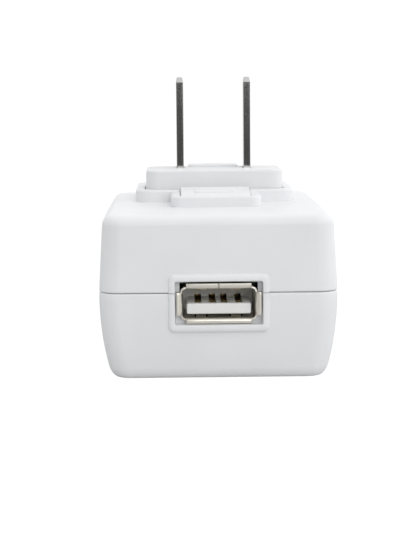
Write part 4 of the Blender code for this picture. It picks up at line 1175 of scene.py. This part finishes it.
def glowing(name, colour, strength):
    """A material that gives off light and takes none."""
    material = bpy.data.materials.new(name)
    material.use_nodes = True
    tree = material.node_tree
    tree.nodes.clear()
    emission = tree.nodes.new("ShaderNodeEmission")
    emission.inputs["Color"].default_value = (*colour, 1.0)
    emission.inputs["Strength"].default_value = strength
    output = tree.nodes.new("ShaderNodeOutputMaterial")
    tree.links.new(emission.outputs["Emission"], output.inputs["Surface"])
    return material


def seen_by(obj, camera, diffuse, glossy):
    """Sets which rays meet a part of the stage."""
    obj.visible_camera = camera
    obj.visible_diffuse = diffuse
    obj.visible_glossy = glossy
    obj.visible_transmission = False
    obj.visible_shadow = False


def disc(name, radius, z, material):
    """A flat round floor at this height."""
    mesh_data = bmesh.new()
    bmesh.ops.create_circle(mesh_data, cap_ends=True, segments=64, radius=radius)
    bmesh.ops.translate(mesh_data, vec=(0, 0, z), verts=mesh_data.verts)
    obj = object_of(name, mesh_data)
    obj.data.materials.append(material)
    return obj


def make_stage():
    """A white floor and backdrop for the camera, and a floor that only throws light back on the charger."""
    white = glowing("stage_white", (1.0, 1.0, 1.0), STAGE_GLOW)
    seen_by(disc("floor", FLOOR_RADIUS, -0.02, white), camera=True, diffuse=False, glossy=False)
    dome_mesh = bmesh.new()
    bmesh.ops.create_uvsphere(dome_mesh, u_segments=48, v_segments=24, radius=BACKDROP_RADIUS)
    dome = object_of("backdrop", dome_mesh)
    dome.data.materials.append(white)
    seen_by(dome, camera=True, diffuse=False, glossy=False)
    paper = shader_of("floor_paper", (BOUNCE_GREY, BOUNCE_GREY, BOUNCE_GREY), 0.8)[0]
    seen_by(disc("bounce_floor", BOUNCE_RADIUS, -0.05, paper), camera=False, diffuse=True, glossy=True)


def make_world():
    """Soft light from above and from white walls beside and behind the charger, with a dim room in front."""
    world = bpy.data.worlds.new("studio")
    bpy.context.scene.world = world
    world.use_nodes = True
    tree = world.node_tree
    background = tree.nodes["Background"]
    coordinates = tree.nodes.new("ShaderNodeTexCoord")
    split = tree.nodes.new("ShaderNodeSeparateXYZ")
    tree.links.new(coordinates.outputs["Generated"], split.inputs["Vector"])
    room = spread(tree, split.outputs["Z"], ROOM_LEVEL[0], ROOM_LEVEL[1], *ROOM_RISE)
    wall = spread(tree, split.outputs["Y"], 0.0, 1.0, *WALL_FROM)
    level = tree.nodes.new("ShaderNodeMix")
    tree.links.new(wall, level.inputs["Factor"])
    tree.links.new(room, level.inputs["A"])
    level.inputs["B"].default_value = ROOM_LEVEL[1]
    side = tree.nodes.new("ShaderNodeMath")
    side.operation = "MULTIPLY"
    tree.links.new(level.outputs["Result"], side.inputs[0])
    tree.links.new(spread(tree, split.outputs["X"], *SIDE_LEVEL, -1.0, 1.0), side.inputs[1])
    tree.links.new(side.outputs["Value"], background.inputs["Strength"])
    background.inputs["Color"].default_value = (1.0, 1.0, 1.0, 1.0)


def make_softbox():
    """A soft light in front of the charger, above it and to its right."""
    data = bpy.data.lights.new("front_softbox", "AREA")
    data.shape = "RECTANGLE"
    data.size = SOFTBOX_SIZE[0] * MM
    data.size_y = SOFTBOX_SIZE[1] * MM
    data.energy = SOFTBOX_POWER
    light = bpy.data.objects.new("front_softbox", data)
    light.location = Vector(SOFTBOX_PLACE) * MM
    away = Vector(SOFTBOX_PLACE) - Vector(SOFTBOX_TARGET)
    light.rotation_mode = "QUATERNION"
    light.rotation_quaternion = away.to_track_quat("Z", "Y")
    bpy.context.scene.collection.objects.link(light)


bpy.context.scene.view_settings.view_transform = "Standard"
make_camera()
make_stage()
make_world()
make_softbox()
make_lower_shell()
make_upper_shell()
make_button()
make_button_spring()
make_head_cover()
make_head_base()
for blade_side, blade_sign in SIDES:
    make_blade(blade_side, blade_sign)
    make_socket_contact(blade_side, blade_sign)
make_port_shell()
make_tongue()
for contact_number, contact_x in enumerate(CONTACT_X, start=1):
    make_port_contact(contact_number, contact_x)
dress_electronics()
